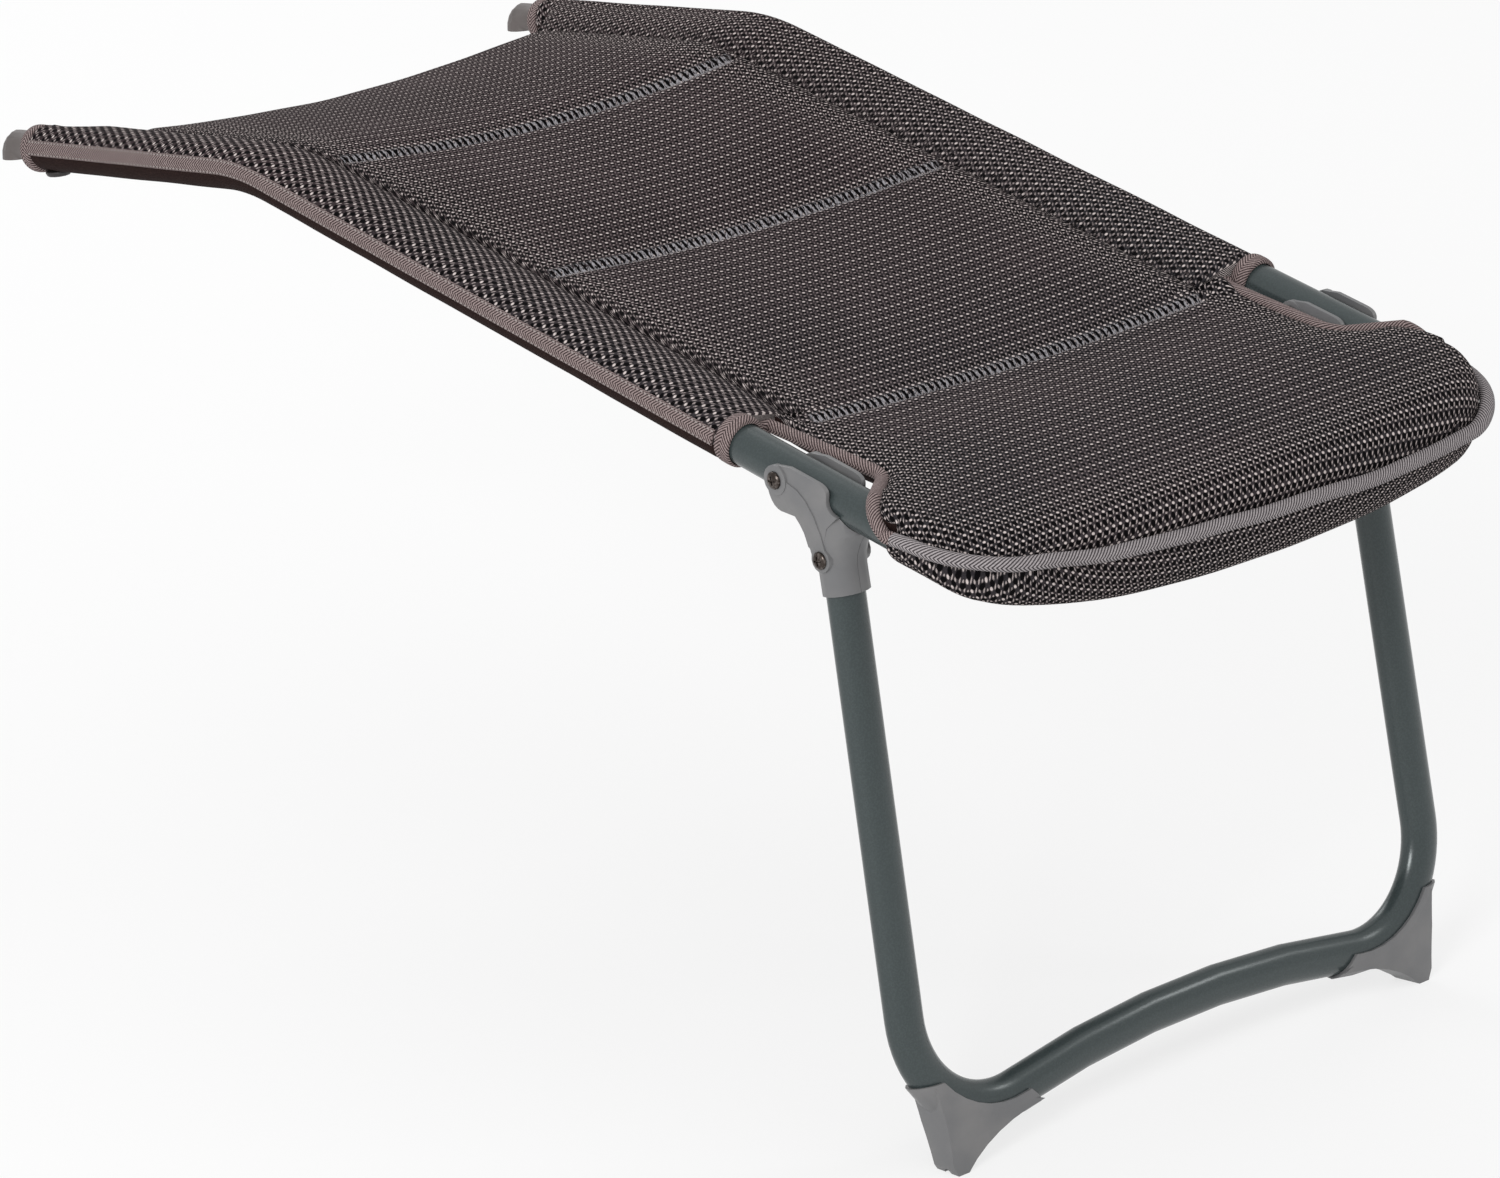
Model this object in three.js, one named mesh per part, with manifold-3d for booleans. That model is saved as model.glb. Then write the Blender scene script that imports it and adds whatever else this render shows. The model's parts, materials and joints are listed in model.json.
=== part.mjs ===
// Clip-on leg rest for a reclining camping chair, in millimetres.
// +Z is up, +Y runs back to the two clips that hang on the chair, -Y is the foot end.
// Two tilted frames carry the pieces: one lies along the side rails, one stands along the leg.

import * as THREE from "three";
import { mergeVertices } from "three/addons/utils/BufferGeometryUtils.js";
import Module from "manifold-3d";

const wasm = await Module();
wasm.setup();

const degrees = Math.PI / 180;

// Frame tube
const railSpacing = 430;
const railRadius = 12.5;
const railWall = 1.5;
const railHeight = 387.2; // rail centre line above the floor, straight over the foot tips
const railSlope = 7.9 * degrees; // rise towards the back
const railRise = 619; // along the rail, from over the foot tips to the rear bend's corner
const rearDrop = 9.5 * degrees; // fall of the rail behind the rear bend
const rearLength = 225; // from the rear bend's corner to the tube's end
const rearBendRadius = 150;
const frontReach = 18; // front bar's centre line ahead of the foot tips
const frontCornerRadius = 55;

// Leg tube, an oval tube bent to a U with an arched cross bar
const pivotAlong = 123; // along the rail, from over the foot tips to the hinge
const legLean = 12.65 * degrees; // the foot stands ahead of the hinge
const legSetback = 28.1; // leg centre line ahead of the hinge, square to the leg
const legWidth = 25;
const legDepth = 19;
const legWall = 1.5;
const legFlare = 5.7; // leg centre line outside the rail's at its widest, by the feet
const legSplay = 1.1 * degrees;
const legCornerRadius = 65;
const crossBarArch = 10.4 * degrees; // half the arc of the arched bar
const crossBarLift = 45.9; // middle of the bar above the floor, along the leg

// Hinge brackets, each moulded in an outer and an inner half
const cheekThickness = 2.8;
const cheekRise = 11.4; // upper edge above the rail's centre line
const cheekSweep = 10; // length of the hollow curve from the cheek down to the saddle
const lobeHeight = 0.9; // raised curved field between the two screws
const pivotBossHeight = 1.6;
const legBossHeight = 0.8;
const pivotBossRadius = 9;
const legBossRadius = 7.4;
const socketWall = 3;
const socketReach = 68; // rim of the leg socket below the hinge
const legScrewReach = 46; // lower screw below the hinge
const saddleReach = 60; // saddle's front end ahead of the hinge, along the rail
const saddleWeb = 4.5; // plastic between the leg's end and the rail
const saddleCover = 3.2; // saddle's upper edge below the rail's centre line
const flareHeight = 20;

// Screws, nuts and spacers
const screwRadius = 2.9;
const screwHeadRadius = 5.5;
const screwHeadHeight = 2.6;
const screwTipLength = 1;
const crossSlotWidth = 1.1;
const crossSlotLength = 5.6;
const crossSlotDepth = 1.5;
const nutRadius = 5.6;
const nutHeight = 4.6;
const nutRecess = 3;
const spacerWall = 1;

// Foot caps
const footWall = 2.6;
const footSoleDepth = 16;
const footShoulderDepth = 22;
const footHornRise = 57; // tip of the outer horn above the floor
const footToeReach = 93; // inner end of the cap, inside the leg's widest centre line
const footToeSlant = 13;
const footHoleRadius = 2.4;
const footHoleDepth = 9;
const footHoleInset = 17.5;
const footSoleInset = 14; // sole's outer edge inside the leg's widest centre line
const footSoleWidth = 11;
const footCorner = 5;
const footHornInset = 7;
const footWebReach = 66; // web's inner end beside the sole
const footWebRise = 24;
const footWebHollow = 8; // height of the curve from the sole to the web's inner end

// Rear clips
const clipRadius = 11.5;
const clipNeckRadius = 9.8;
const clipHeight = 16.8;
const clipDrop = 8; // flat rim below the rail's centre line
const clipReach = 22; // dome's middle behind the tube's end
const clipWall = 3;
const clipPocketDepth = 12;
const collarLength = 1.2;
const stemLength = 36;
const retainerInset = 18.4; // retaining screw ahead of the tube's end
const retainerRadius = 2.2;
const retainerHeadRadius = 8.5;
const retainerHeadHeight = 3.4;
const retainerLength = 20;

// Cover: quilted centre panel, padded side sleeves and the pocket over the front bar
const panelHalfWidth = 170;
const panelEdgeTop = 5; // heights are square to the rail, from its centre line
const panelEdgeBottom = -8;
const panelCrown = 6;
const panelCrownBelow = 3;
const hemAlong = 798;
const seams = [
  { along: 165, sag: 8.4 },
  { along: 397, sag: 10.5 },
  { along: 594, sag: 15.6 },
  { along: hemAlong, sag: 10 },
];
const coverThickness = 6.5; // padding over the rail inside the pocket
const pocketFront = 51; // pocket's front edge ahead of the foot tips
const pocketSidePadding = 1.9; // padding outside the rail, inside the pocket
const pocketBowRadius = 1100;
const pocketCornerRadius = 60;
const pocketRoll = 26; // width of the rounded rim
const pocketTailStart = 10; // the padded pocket thins out between these two
const pocketTailEnd = 150;
const mouthInset = 40; // pocket's rear corner, drawn in beside the rail
const mouthLength = 54.5;
const mouthRoundness = 1.7; // exponent of the corner's outline, 2 for an ellipse
const bagDepth = 32; // padded roll under the front bar
const bagSideDepth = 17; // cloth drawn tight under the rails
const bagBulge = 7;
const bagRoll = 13;
const bagEnd = 82;
const bagMouth = 36; // where the lower panel lets the rails out
const bagHem = 3;
const notchClearance = 11.3; // from the bracket's bosses to the cover
const notchRoll = 15; // width of the rim that rolls down to the notch's binding
const notchTail = 4; // notch ends ahead of the sleeve's start
const sleeveStart = 178;
const sleeveRearInset = 8; // sleeve's cloth ends ahead of the tube's end
const sleeveTopRadius = 16;
const sleeveSideRadius = 15;
const sleeveLowRadius = 13.9;
const sleeveFlangeTop = 9.4;
const sleeveShoulder = 13.4;
const sleeveFlangeBottom = -8.2;
const sleeveFlangeRoot = -7;
const sleeveTaper = 24; // flange dies out behind the hem over this length
const ringWidth = 8;
const frontRing = { top: 17, bottom: 14.4 };
const rearRing = { top: 14.4, bottom: 16.4 };
const tapeStart = 156 * degrees;
const tapeEnd = 188 * degrees;
const tapeThickness = 0.9;
const pipingRadius = 2.6;
const lipHalfWidth = 4.5; // flat lip round the front of the pocket
const lipHalfHeight = 1.7;
const notchBindingRise = { ring: 3, mouth: 7 };

// Clearances
const gap = 0.3;
const clothGap = 0.6; // between cloth and tube
const overrun = 5; // how far cutting bodies stick out

// Facets
const tubeSides = 16;
const boreSides = 10;
const bendSteps = 7;
const archSteps = 3; // each half of the cross bar
const rearBendSteps = 3;
const smallSides = 12;
const bossSides = 16;
const domeSteps = 5;
const pipingSides = 8;
const bindingSteps = 26;
const bowSteps = 4;
const outlineSteps = 6;
const screwHeadSteps = 4;
const hexSides = 6;

const railHalf = railSpacing / 2;
const rake = railSlope + legLean; // angle between the rail and the leg's square
const cheekInside = railRadius + gap;
const cheekOutside = cheekInside + cheekThickness;
const pocketHalfWidth = railHalf + railRadius + clothGap + pocketSidePadding;
const notchHalfWidth = railHalf - cheekOutside - pivotBossHeight - notchClearance;

// Materials

function finish(color, roughness, metalness) {
  return new THREE.MeshStandardMaterial({ color, roughness, metalness });
}

const finishes = {
  tube: () => finish(0x3a4748, 0.35, 0.6),
  plastic: () => finish(0x6b6c6e, 0.55, 0),
  steel: () => finish(0x5a524d, 0.3, 0.9),
  mesh: () => finish(0x4a4143, 0.95, 0),
  tape: () => finish(0x786c70, 0.9, 0),
  darkPlastic: () => finish(0x2b2020, 0.6, 0),
};

// Solids and geometries

function welded(geometry) {
  const bare = geometry.clone();
  bare.deleteAttribute("normal");
  bare.deleteAttribute("uv");
  const closed = mergeVertices(bare);
  const corners = closed.index.array;
  const kept = [];
  for (let first = 0; first < corners.length; first += 3) {
    const triangle = corners.slice(first, first + 3);
    if (new Set(triangle).size === 3) kept.push(...triangle);
  }
  closed.setIndex(kept);
  return closed;
}

function toSolid(geometry) {
  const closed = welded(geometry);
  const vertProperties = new Float32Array(closed.attributes.position.array);
  const triVerts = new Uint32Array(closed.index.array);
  return new wasm.Manifold(new wasm.Mesh({ numProp: 3, vertProperties, triVerts }));
}

function toGeometry(solid) {
  const { vertProperties, triVerts } = solid.getMesh();
  const geometry = new THREE.BufferGeometry();
  geometry.setAttribute("position", new THREE.BufferAttribute(new Float32Array(vertProperties), 3));
  geometry.setIndex(new THREE.BufferAttribute(new Uint32Array(triVerts), 1));
  return geometry;
}

function joined(...geometries) {
  return geometries.map(toSolid).reduce((whole, next) => whole.add(next));
}

function cut(solid, ...geometries) {
  return geometries.map(toSolid).reduce((rest, tool) => rest.subtract(tool), solid);
}

function fromTriangles(points, triangles) {
  const volume = triangles.reduce((sum, [a, b, c]) => {
    return sum + points[a].dot(new THREE.Vector3().crossVectors(points[b], points[c]));
  }, 0);
  const facing = volume > 0 ? triangles : triangles.map(([a, b, c]) => [a, c, b]);
  const geometry = new THREE.BufferGeometry().setFromPoints(points);
  geometry.setIndex(facing.flat());
  return geometry;
}

// Solid between two grids of points that share their layout
function between(upper, lower) {
  const rows = upper.length;
  const columns = upper[0].length;
  const points = [...upper.flat(), ...lower.flat()];
  const at = (layer, row, column) => layer * rows * columns + row * columns + column;
  const triangles = [];
  const quad = (a, b, c, d) => triangles.push([a, b, c], [a, c, d]);
  for (let row = 0; row + 1 < rows; row += 1) {
    for (let column = 0; column + 1 < columns; column += 1) {
      quad(at(0, row, column), at(0, row, column + 1), at(0, row + 1, column + 1), at(0, row + 1, column));
      quad(at(1, row, column), at(1, row + 1, column), at(1, row + 1, column + 1), at(1, row, column + 1));
    }
    const last = columns - 1;
    quad(at(0, row, 0), at(0, row + 1, 0), at(1, row + 1, 0), at(1, row, 0));
    quad(at(0, row, last), at(1, row, last), at(1, row + 1, last), at(0, row + 1, last));
  }
  for (let column = 0; column + 1 < columns; column += 1) {
    const last = rows - 1;
    quad(at(0, 0, column), at(1, 0, column), at(1, 0, column + 1), at(0, 0, column + 1));
    quad(at(0, last, column), at(0, last, column + 1), at(1, last, column + 1), at(1, last, column));
  }
  return fromTriangles(points, triangles);
}

// Solid skin through equal rings, with a bore through equal inner rings
function boredLoft(outer, inner) {
  const loops = outer.map((ring, index) => [...ring, ...inner[index]]);
  const count = outer[0].length;
  const at = (station, ringPoint) => station * 2 * count + ringPoint;
  const triangles = [];
  const quad = (a, b, c, d) => triangles.push([a, b, c], [a, c, d]);
  for (let point = 0; point < count; point += 1) {
    const next = (point + 1) % count;
    for (let station = 0; station + 1 < loops.length; station += 1) {
      const onward = station + 1;
      quad(at(station, point), at(station, next), at(onward, next), at(onward, point));
      quad(at(station, count + point), at(onward, count + point), at(onward, count + next), at(station, count + next));
    }
    const last = loops.length - 1;
    quad(at(0, point), at(0, count + point), at(0, count + next), at(0, next));
    quad(at(last, point), at(last, next), at(last, count + next), at(last, count + point));
  }
  return fromTriangles(loops.flat(), triangles);
}

// Solid skin through equal convex rings
function loft(rings) {
  const count = rings[0].length;
  const centre = (ring) => ring.reduce((sum, point) => sum.add(point), new THREE.Vector3()).divideScalar(count);
  const points = [...rings.flat(), centre(rings[0]), centre(rings[rings.length - 1])];
  const triangles = [];
  for (let point = 0; point < count; point += 1) {
    const next = (point + 1) % count;
    for (let ring = 0; ring + 1 < rings.length; ring += 1) {
      const here = ring * count;
      triangles.push([here + point, here + next, here + count + next]);
      triangles.push([here + point, here + count + next, here + count + point]);
    }
    const last = (rings.length - 1) * count;
    triangles.push([next, point, rings.length * count]);
    triangles.push([last + point, last + next, rings.length * count + 1]);
  }
  return fromTriangles(points, triangles);
}

function alongX(radius, from, to, y, z, sides = smallSides) {
  const geometry = new THREE.CylinderGeometry(radius, radius, to - from, sides);
  geometry.rotateZ(-Math.PI / 2);
  geometry.translate((from + to) / 2, y, z);
  return geometry;
}

function block(from, to) {
  const size = new THREE.Vector3().subVectors(to, from);
  const geometry = new THREE.BoxGeometry(size.x, size.y, size.z);
  const middle = new THREE.Vector3().addVectors(from, to).divideScalar(2);
  geometry.translate(middle.x, middle.y, middle.z);
  return geometry;
}

function mirrored(geometry) {
  const twin = welded(geometry);
  twin.scale(-1, 1, 1);
  const order = twin.index.array;
  for (let corner = 0; corner < order.length; corner += 3) {
    [order[corner + 1], order[corner + 2]] = [order[corner + 2], order[corner + 1]];
  }
  return twin;
}

// Tubes: a path of stations, bent like a tube from straight runs and arcs

class BentPath extends THREE.Curve {
  constructor(stations) {
    super();
    this.stations = stations;
  }

  stationAt(share) {
    return this.stations[Math.round(share * (this.stations.length - 1))];
  }

  getPointAt(share, target = new THREE.Vector3()) {
    return target.copy(this.stationAt(share).point);
  }

  getTangentAt(share, target = new THREE.Vector3()) {
    return target.copy(this.stationAt(share).heading);
  }
}

function bentHalf(start, heading, moves) {
  const stations = [{ point: start.clone(), heading: heading.clone() }];
  const point = start.clone();
  const direction = heading.clone();
  for (const move of moves) {
    if (move.run) {
      point.addScaledVector(direction, move.run);
      stations.push({ point: point.clone(), heading: direction.clone() });
      continue;
    }
    const toCentre = new THREE.Vector3().crossVectors(move.axis, direction).multiplyScalar(move.radius);
    const centre = point.clone().add(toCentre);
    for (let step = 0; step < move.steps; step += 1) {
      point.sub(centre).applyAxisAngle(move.axis, move.angle / move.steps).add(centre);
      direction.applyAxisAngle(move.axis, move.angle / move.steps);
      stations.push({ point: point.clone(), heading: direction.clone() });
    }
  }
  return stations;
}

function wholePath(half) {
  const otherHalf = half.slice(1).reverse().map(({ point, heading }) => ({
    point: new THREE.Vector3(-point.x, point.y, point.z),
    heading: new THREE.Vector3(heading.x, -heading.y, -heading.z),
  }));
  return new BentPath([...otherHalf, ...half]);
}

function ovalPoints(halfX, halfY, sides) {
  const points = [];
  for (let side = 0; side < sides; side += 1) {
    const angle = (side / sides) * 2 * Math.PI;
    points.push(new THREE.Vector2(halfX * Math.cos(angle), halfY * Math.sin(angle)));
  }
  return points;
}

function sweep(path, steps, outline, bore = null) {
  const section = new THREE.Shape(outline);
  if (bore) section.holes.push(new THREE.Path(bore));
  return welded(new THREE.ExtrudeGeometry(section, { steps, extrudePath: path, curveSegments: 1 }));
}

// Where things lie along the rail

const rearBend = railSlope + rearDrop;
const rearBendTangent = rearBendRadius * Math.tan(rearBend / 2);
const bendStart = railRise - rearBendTangent;
const bendEnd = bendStart + rearBendRadius * rearBend;
const railEnd = bendEnd + rearLength - rearBendTangent;
const sleeveEnd = railEnd - sleeveRearInset;

// Point given across the part, along the rail and square to the rail
function byRail(x, along, height) {
  const turn = THREE.MathUtils.clamp((along - bendStart) / rearBendRadius, 0, rearBend);
  const before = Math.min(along, bendStart);
  const after = Math.max(along - bendEnd, 0);
  const sine = Math.sin(turn);
  const cosine = Math.cos(turn);
  const y = before + rearBendRadius * sine + after * cosine + height * sine;
  const z = height * cosine - rearBendRadius * (1 - cosine) - after * sine;
  return new THREE.Vector3(x, y, z);
}

// Frame tube

function railPath() {
  const start = new THREE.Vector3(0, -frontReach, 0);
  const up = new THREE.Vector3(0, 0, 1);
  const down = new THREE.Vector3(-1, 0, 0);
  return wholePath(bentHalf(start, new THREE.Vector3(1, 0, 0), [
    { run: railHalf - frontCornerRadius },
    { angle: Math.PI / 2, radius: frontCornerRadius, axis: up, steps: bendSteps },
    { run: bendStart + frontReach - frontCornerRadius },
    { angle: rearBend, radius: rearBendRadius, axis: down, steps: rearBendSteps },
    { run: rearLength - rearBendTangent },
  ]));
}

function railTube(radius, wall = null) {
  const path = railPath();
  const bore = wall === null ? null : ovalPoints(radius - wall, radius - wall, boreSides);
  return sweep(path, path.stations.length - 1, ovalPoints(radius, radius, tubeSides), bore);
}

const spacerRadius = screwRadius + gap + spacerWall;

function frameTube() {
  const reach = railRadius + overrun;
  const tools = [];
  for (const side of [-1, 1]) {
    const x = side * railHalf;
    tools.push(alongX(spacerRadius + gap, x - reach, x + reach, pivotAlong, 0));
    tools.push(retainerBore(x));
  }
  return toGeometry(cut(toSolid(railTube(railRadius, railWall)), ...tools));
}

// Rear clips and their retaining screws, built along the rail's rear run

function onRearRun(geometry, x) {
  const end = byRail(x, railEnd, 0);
  geometry.rotateX(-rearBend);
  geometry.translate(end.x, end.y, end.z);
  return geometry;
}

function squareToRun(radius, from, to, y, sides = smallSides) {
  const geometry = new THREE.CylinderGeometry(radius, radius, to - from, sides);
  geometry.rotateX(Math.PI / 2);
  geometry.translate(0, y, (from + to) / 2);
  return geometry;
}

function alongRun(radius, from, to, sides = tubeSides) {
  const geometry = new THREE.CylinderGeometry(radius, radius, to - from, sides);
  geometry.translate(0, (from + to) / 2, 0);
  return geometry;
}

function retainerBore(x) {
  const bore = squareToRun(retainerRadius + gap, -rearRing.bottom - overrun, 0, -retainerInset);
  return onRearRun(bore, x);
}

function dome(radius, height) {
  const profile = [new THREE.Vector2(0, 0)];
  for (let step = 0; step < domeSteps; step += 1) {
    const angle = (step / domeSteps) * Math.PI / 2;
    profile.push(new THREE.Vector2(radius * Math.cos(angle), height * Math.sin(angle)));
  }
  profile.push(new THREE.Vector2(0, height));
  const geometry = new THREE.LatheGeometry(profile, tubeSides);
  geometry.rotateX(Math.PI / 2);
  return geometry;
}

function rearClip() {
  const stemRadius = (railRadius - railWall) * Math.cos(Math.PI / boreSides) - gap;
  const stem = alongRun(stemRadius, -stemLength, gap + overrun);
  const collar = alongRun(railRadius, gap, collarLength);
  const neck = alongRun(clipNeckRadius, gap, clipReach);
  const hood = dome(clipRadius, clipHeight);
  hood.translate(0, clipReach, -clipDrop);
  const below = block(
    new THREE.Vector3(-clipRadius - overrun, collarLength, -railRadius - overrun),
    new THREE.Vector3(clipRadius + overrun, clipReach + overrun, -clipDrop),
  );
  const pocket = dome(clipRadius - clipWall, clipPocketDepth);
  pocket.translate(0, clipReach, -clipDrop);
  const mouth = squareToRun(clipRadius - clipWall, -overrun - clipDrop, -clipDrop, clipReach, tubeSides);
  const drilled = squareToRun(retainerRadius + gap, -railRadius - overrun, retainerLength - railRadius, -retainerInset);
  const solid = cut(cut(joined(stem, neck), below).add(joined(hood, collar)), pocket, mouth, drilled);
  return onRearRun(toGeometry(solid), railHalf);
}

function retainingScrew() {
  const seat = -sleeveLowRadius - gap;
  const headEdge = retainerHeadHeight / 3;
  const profile = [
    new THREE.Vector2(0, seat + retainerLength),
    new THREE.Vector2(retainerRadius, seat + retainerLength - retainerRadius),
    new THREE.Vector2(retainerRadius, seat),
    new THREE.Vector2(retainerHeadRadius, seat),
    new THREE.Vector2(retainerHeadRadius, seat - headEdge),
    new THREE.Vector2(retainerHeadRadius - headEdge, seat - retainerHeadHeight),
    new THREE.Vector2(0, seat - retainerHeadHeight),
  ].reverse();
  const geometry = new THREE.LatheGeometry(profile, smallSides);
  geometry.rotateX(Math.PI / 2);
  geometry.translate(0, -retainerInset, 0);
  return onRearRun(geometry, railHalf);
}

// Cover outline in plan, as half widths along the rail

const bowCentre = pocketBowRadius - pocketFront;
const cornerCentreX = pocketHalfWidth - pocketCornerRadius;
const cornerCentre = bowCentre - Math.sqrt(
  (pocketBowRadius - pocketCornerRadius) ** 2 - cornerCentreX ** 2,
);
const cornerMeetX = cornerCentreX * pocketBowRadius / (pocketBowRadius - pocketCornerRadius);
const mouthCentreX = pocketHalfWidth - mouthInset;
const mouthEnd = cornerCentre + mouthLength;
const notchEnd = sleeveStart - notchTail;

function padWidth(along) {
  if (along <= cornerCentre) return pocketHalfWidth;
  if (along < mouthEnd) {
    const passed = ((along - cornerCentre) / mouthLength) ** mouthRoundness;
    return Math.max(mouthCentreX + mouthInset * (1 - passed) ** (1 / mouthRoundness), notchHalfWidth);
  }
  return along < notchEnd ? notchHalfWidth : panelHalfWidth - gap;
}

function frontEdge(x) {
  const across = Math.abs(x);
  if (across < cornerMeetX) return bowCentre - Math.sqrt(pocketBowRadius ** 2 - across ** 2);
  const offset = Math.min(across - cornerCentreX, pocketCornerRadius);
  return cornerCentre - Math.sqrt(pocketCornerRadius ** 2 - offset ** 2);
}

// Cover heights, square to the rail

const coverRise = railRadius + clothGap + coverThickness;

function sagAt(along) {
  const ends = [{ along: -frontReach, sag: 0 }, ...seams];
  const index = ends.findIndex((end) => end.along >= along);
  if (index === 0) return 0;
  const [from, to] = index > 0 ? [ends[index - 1], ends[index]] : ends.slice(-2);
  return THREE.MathUtils.mapLinear(Math.min(along, to.along), from.along, to.along, from.sag, to.sag);
}

// Swell of the padding between two seams, from 0 in the channel to 1
function swellAt(along) {
  const index = seams.findIndex((seam) => seam.along >= along);
  if (index < 0) return 0;
  const to = seams[index].along;
  const from = index > 0 ? seams[index - 1].along : pocketTailStart;
  const passed = THREE.MathUtils.clamp((along - from) / (to - from), 0, 1);
  return Math.sqrt(Math.sin(Math.PI * passed));
}

// Quarter-round rise from 0 at an edge to 1 at a distance of reach inside it
function roundedRise(inside, reach) {
  const across = THREE.MathUtils.clamp(inside / reach, 0, 1);
  return Math.sqrt(1 - (1 - across) ** 2);
}

function pocketShare(along) {
  return 1 - THREE.MathUtils.smoothstep(along, pocketTailStart, pocketTailEnd);
}

function padTop(x, along) {
  const across = Math.abs(x);
  const outward = across / padWidth(along);
  const swell = swellAt(along) * (1 - outward ** 4);
  const field = panelEdgeTop - sagAt(along) * (1 - outward ** 2) + panelCrown * swell;
  const rim = roundedRise(notchHalfWidth - across, notchRoll);
  const beside = THREE.MathUtils.lerp(1, rim, THREE.MathUtils.smoothstep(along, mouthEnd, (mouthEnd + notchEnd) / 2));
  const height = THREE.MathUtils.lerp(field, coverRise, pocketShare(along) * beside);
  const front = roundedRise(along - frontEdge(x), pocketRoll);
  const side = roundedRise(pocketHalfWidth - across, pocketHalfWidth - railHalf);
  return gap + (height - gap) * front * (across > railHalf ? side : 1);
}

function padBottom(x, along) {
  const outward = Math.abs(x) / padWidth(along);
  const swell = swellAt(along) * (1 - outward ** 4);
  const field = panelEdgeBottom - sagAt(along) * (1 - outward ** 2) - panelCrownBelow * swell;
  const beside = Math.abs(x) > notchHalfWidth ? 1 : pocketShare(along);
  return THREE.MathUtils.lerp(field, -pipingRadius, beside);
}

// The bag under the front bar bulges ahead of the pad, and lies tight under the rails
function besideRail(x) {
  const start = railHalf - frontCornerRadius - railRadius;
  return THREE.MathUtils.smoothstep(Math.abs(x), start, railHalf - railRadius);
}

function bagEdge(x) {
  return frontEdge(x) - bagBulge * (1 - besideRail(x));
}

function bagTop(x, along) {
  return padBottom(x, along) - clothGap;
}

function bagBottom(x, along) {
  const depth = THREE.MathUtils.lerp(bagDepth, bagSideDepth, besideRail(x)) - pipingRadius - clothGap;
  const front = roundedRise(along - bagEdge(x), bagRoll);
  const side = roundedRise(padWidth(along) - Math.abs(x), bagRoll);
  const tail = THREE.MathUtils.smoothstep(along, bagMouth, bagEnd);
  const hem = bagTop(x, along) - bagHem;
  const bag = bagTop(x, along) - gap - depth * front * side;
  return Math.min(THREE.MathUtils.lerp(bag, hem, tail), bagTop(x, along) - gap);
}

// Cover pieces

const acrossShares = [-1, -0.98, -0.93, -0.86, -0.7, -0.35, 0, 0.35, 0.7, 0.86, 0.93, 0.98, 1];
const frontShares = [0, 0.012, 0.04, 0.1, 0.2, 0.35, 0.65, 1];
const mouthShares = [0.35, 0.65, 0.85, 0.97];
const fieldShares = [0.07, 0.28, 0.5, 0.72, 0.93, 1];

// Rows of the pocket follow its front edge; each column keeps its place across
function pocketRows(edge, height) {
  return frontShares.map((share) => acrossShares.map((across) => {
    const x = across * pocketHalfWidth;
    const along = THREE.MathUtils.lerp(edge(x), cornerCentre, share);
    return byRail(x, along, height(x, along));
  }));
}

function rowsAt(stations, width, height) {
  return stations.map((along) => acrossShares.map((across) => {
    const x = across * width(along);
    return byRail(x, along, height(x, along));
  }));
}

function panelStations() {
  const mouth = mouthShares.map((share) => cornerCentre + share * mouthLength);
  const notch = [mouthEnd + gap, (mouthEnd + notchEnd) / 2, notchEnd - gap, notchEnd + gap];
  const fields = seams.slice(1).flatMap((seam, index) => {
    const start = Math.max(seams[index].along, notchEnd);
    return fieldShares.map((share) => THREE.MathUtils.lerp(start, seam.along, share));
  });
  return [...mouth, ...notch, ...fields];
}

function seatPad() {
  const stations = panelStations();
  const upper = [...pocketRows(frontEdge, padTop), ...rowsAt(stations, padWidth, padTop)];
  const lower = [...pocketRows(frontEdge, padBottom), ...rowsAt(stations, padWidth, padBottom)];
  const binding = notchBinding(gap);
  const tools = [railTube(railRadius + clothGap), binding, mirrored(binding)];
  return toGeometry(cut(toSolid(between(upper, lower)), ...tools));
}

function bagWidth(along) {
  return along > bagMouth ? notchHalfWidth : padWidth(along);
}

function pocketUnderside() {
  const stations = [bagMouth, bagMouth + gap, (bagMouth + bagEnd) / 2, bagEnd];
  const upper = [...pocketRows(bagEdge, bagTop), ...rowsAt(stations, bagWidth, bagTop)];
  const lower = [...pocketRows(bagEdge, bagBottom), ...rowsAt(stations, bagWidth, bagBottom)];
  return toGeometry(cut(toSolid(between(upper, lower)), railTube(railRadius + clothGap)));
}

// Padded sleeve round one rail: inward is measured from the rail to the centre panel

const topAngles = [60, 80, 100, 120, 140];
const sideAngles = [162, 182, 202];
const lowAngles = [225, 245, 265, 285, 305];

// Share by which the sleeve is drawn in behind the hem
function sleeveClosing(along) {
  return THREE.MathUtils.smoothstep(along, hemAlong + sleeveTaper, sleeveEnd);
}

function sleeveSection(along) {
  const fade = THREE.MathUtils.clamp((along - hemAlong) / sleeveTaper, 0, 1);
  const closing = sleeveClosing(along);
  const faded = (from, to) => THREE.MathUtils.lerp(from, to, fade);
  const reach = faded(railHalf - panelHalfWidth - gap, sleeveTopRadius);
  const round = (radius) => (angle) => {
    const closed = THREE.MathUtils.lerp(radius, sleeveLowRadius, closing);
    return [closed * Math.cos(angle * degrees), closed * Math.sin(angle * degrees)];
  };
  return [
    [reach, panelEdgeTop],
    [(reach + sleeveTopRadius) / 2, faded(sleeveFlangeTop, panelEdgeTop)],
    [sleeveTopRadius, faded(sleeveShoulder, sleeveFlangeTop)],
    ...topAngles.map(round(sleeveTopRadius)),
    ...sideAngles.map(round(sleeveSideRadius)),
    ...lowAngles.map(round(sleeveLowRadius)),
    [sleeveLowRadius, sleeveFlangeRoot],
    [(reach + sleeveLowRadius) / 2, faded(sleeveFlangeBottom, sleeveFlangeRoot)],
    [reach, faded(panelEdgeBottom, sleeveFlangeRoot)],
    [reach, 0],
  ];
}

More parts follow.
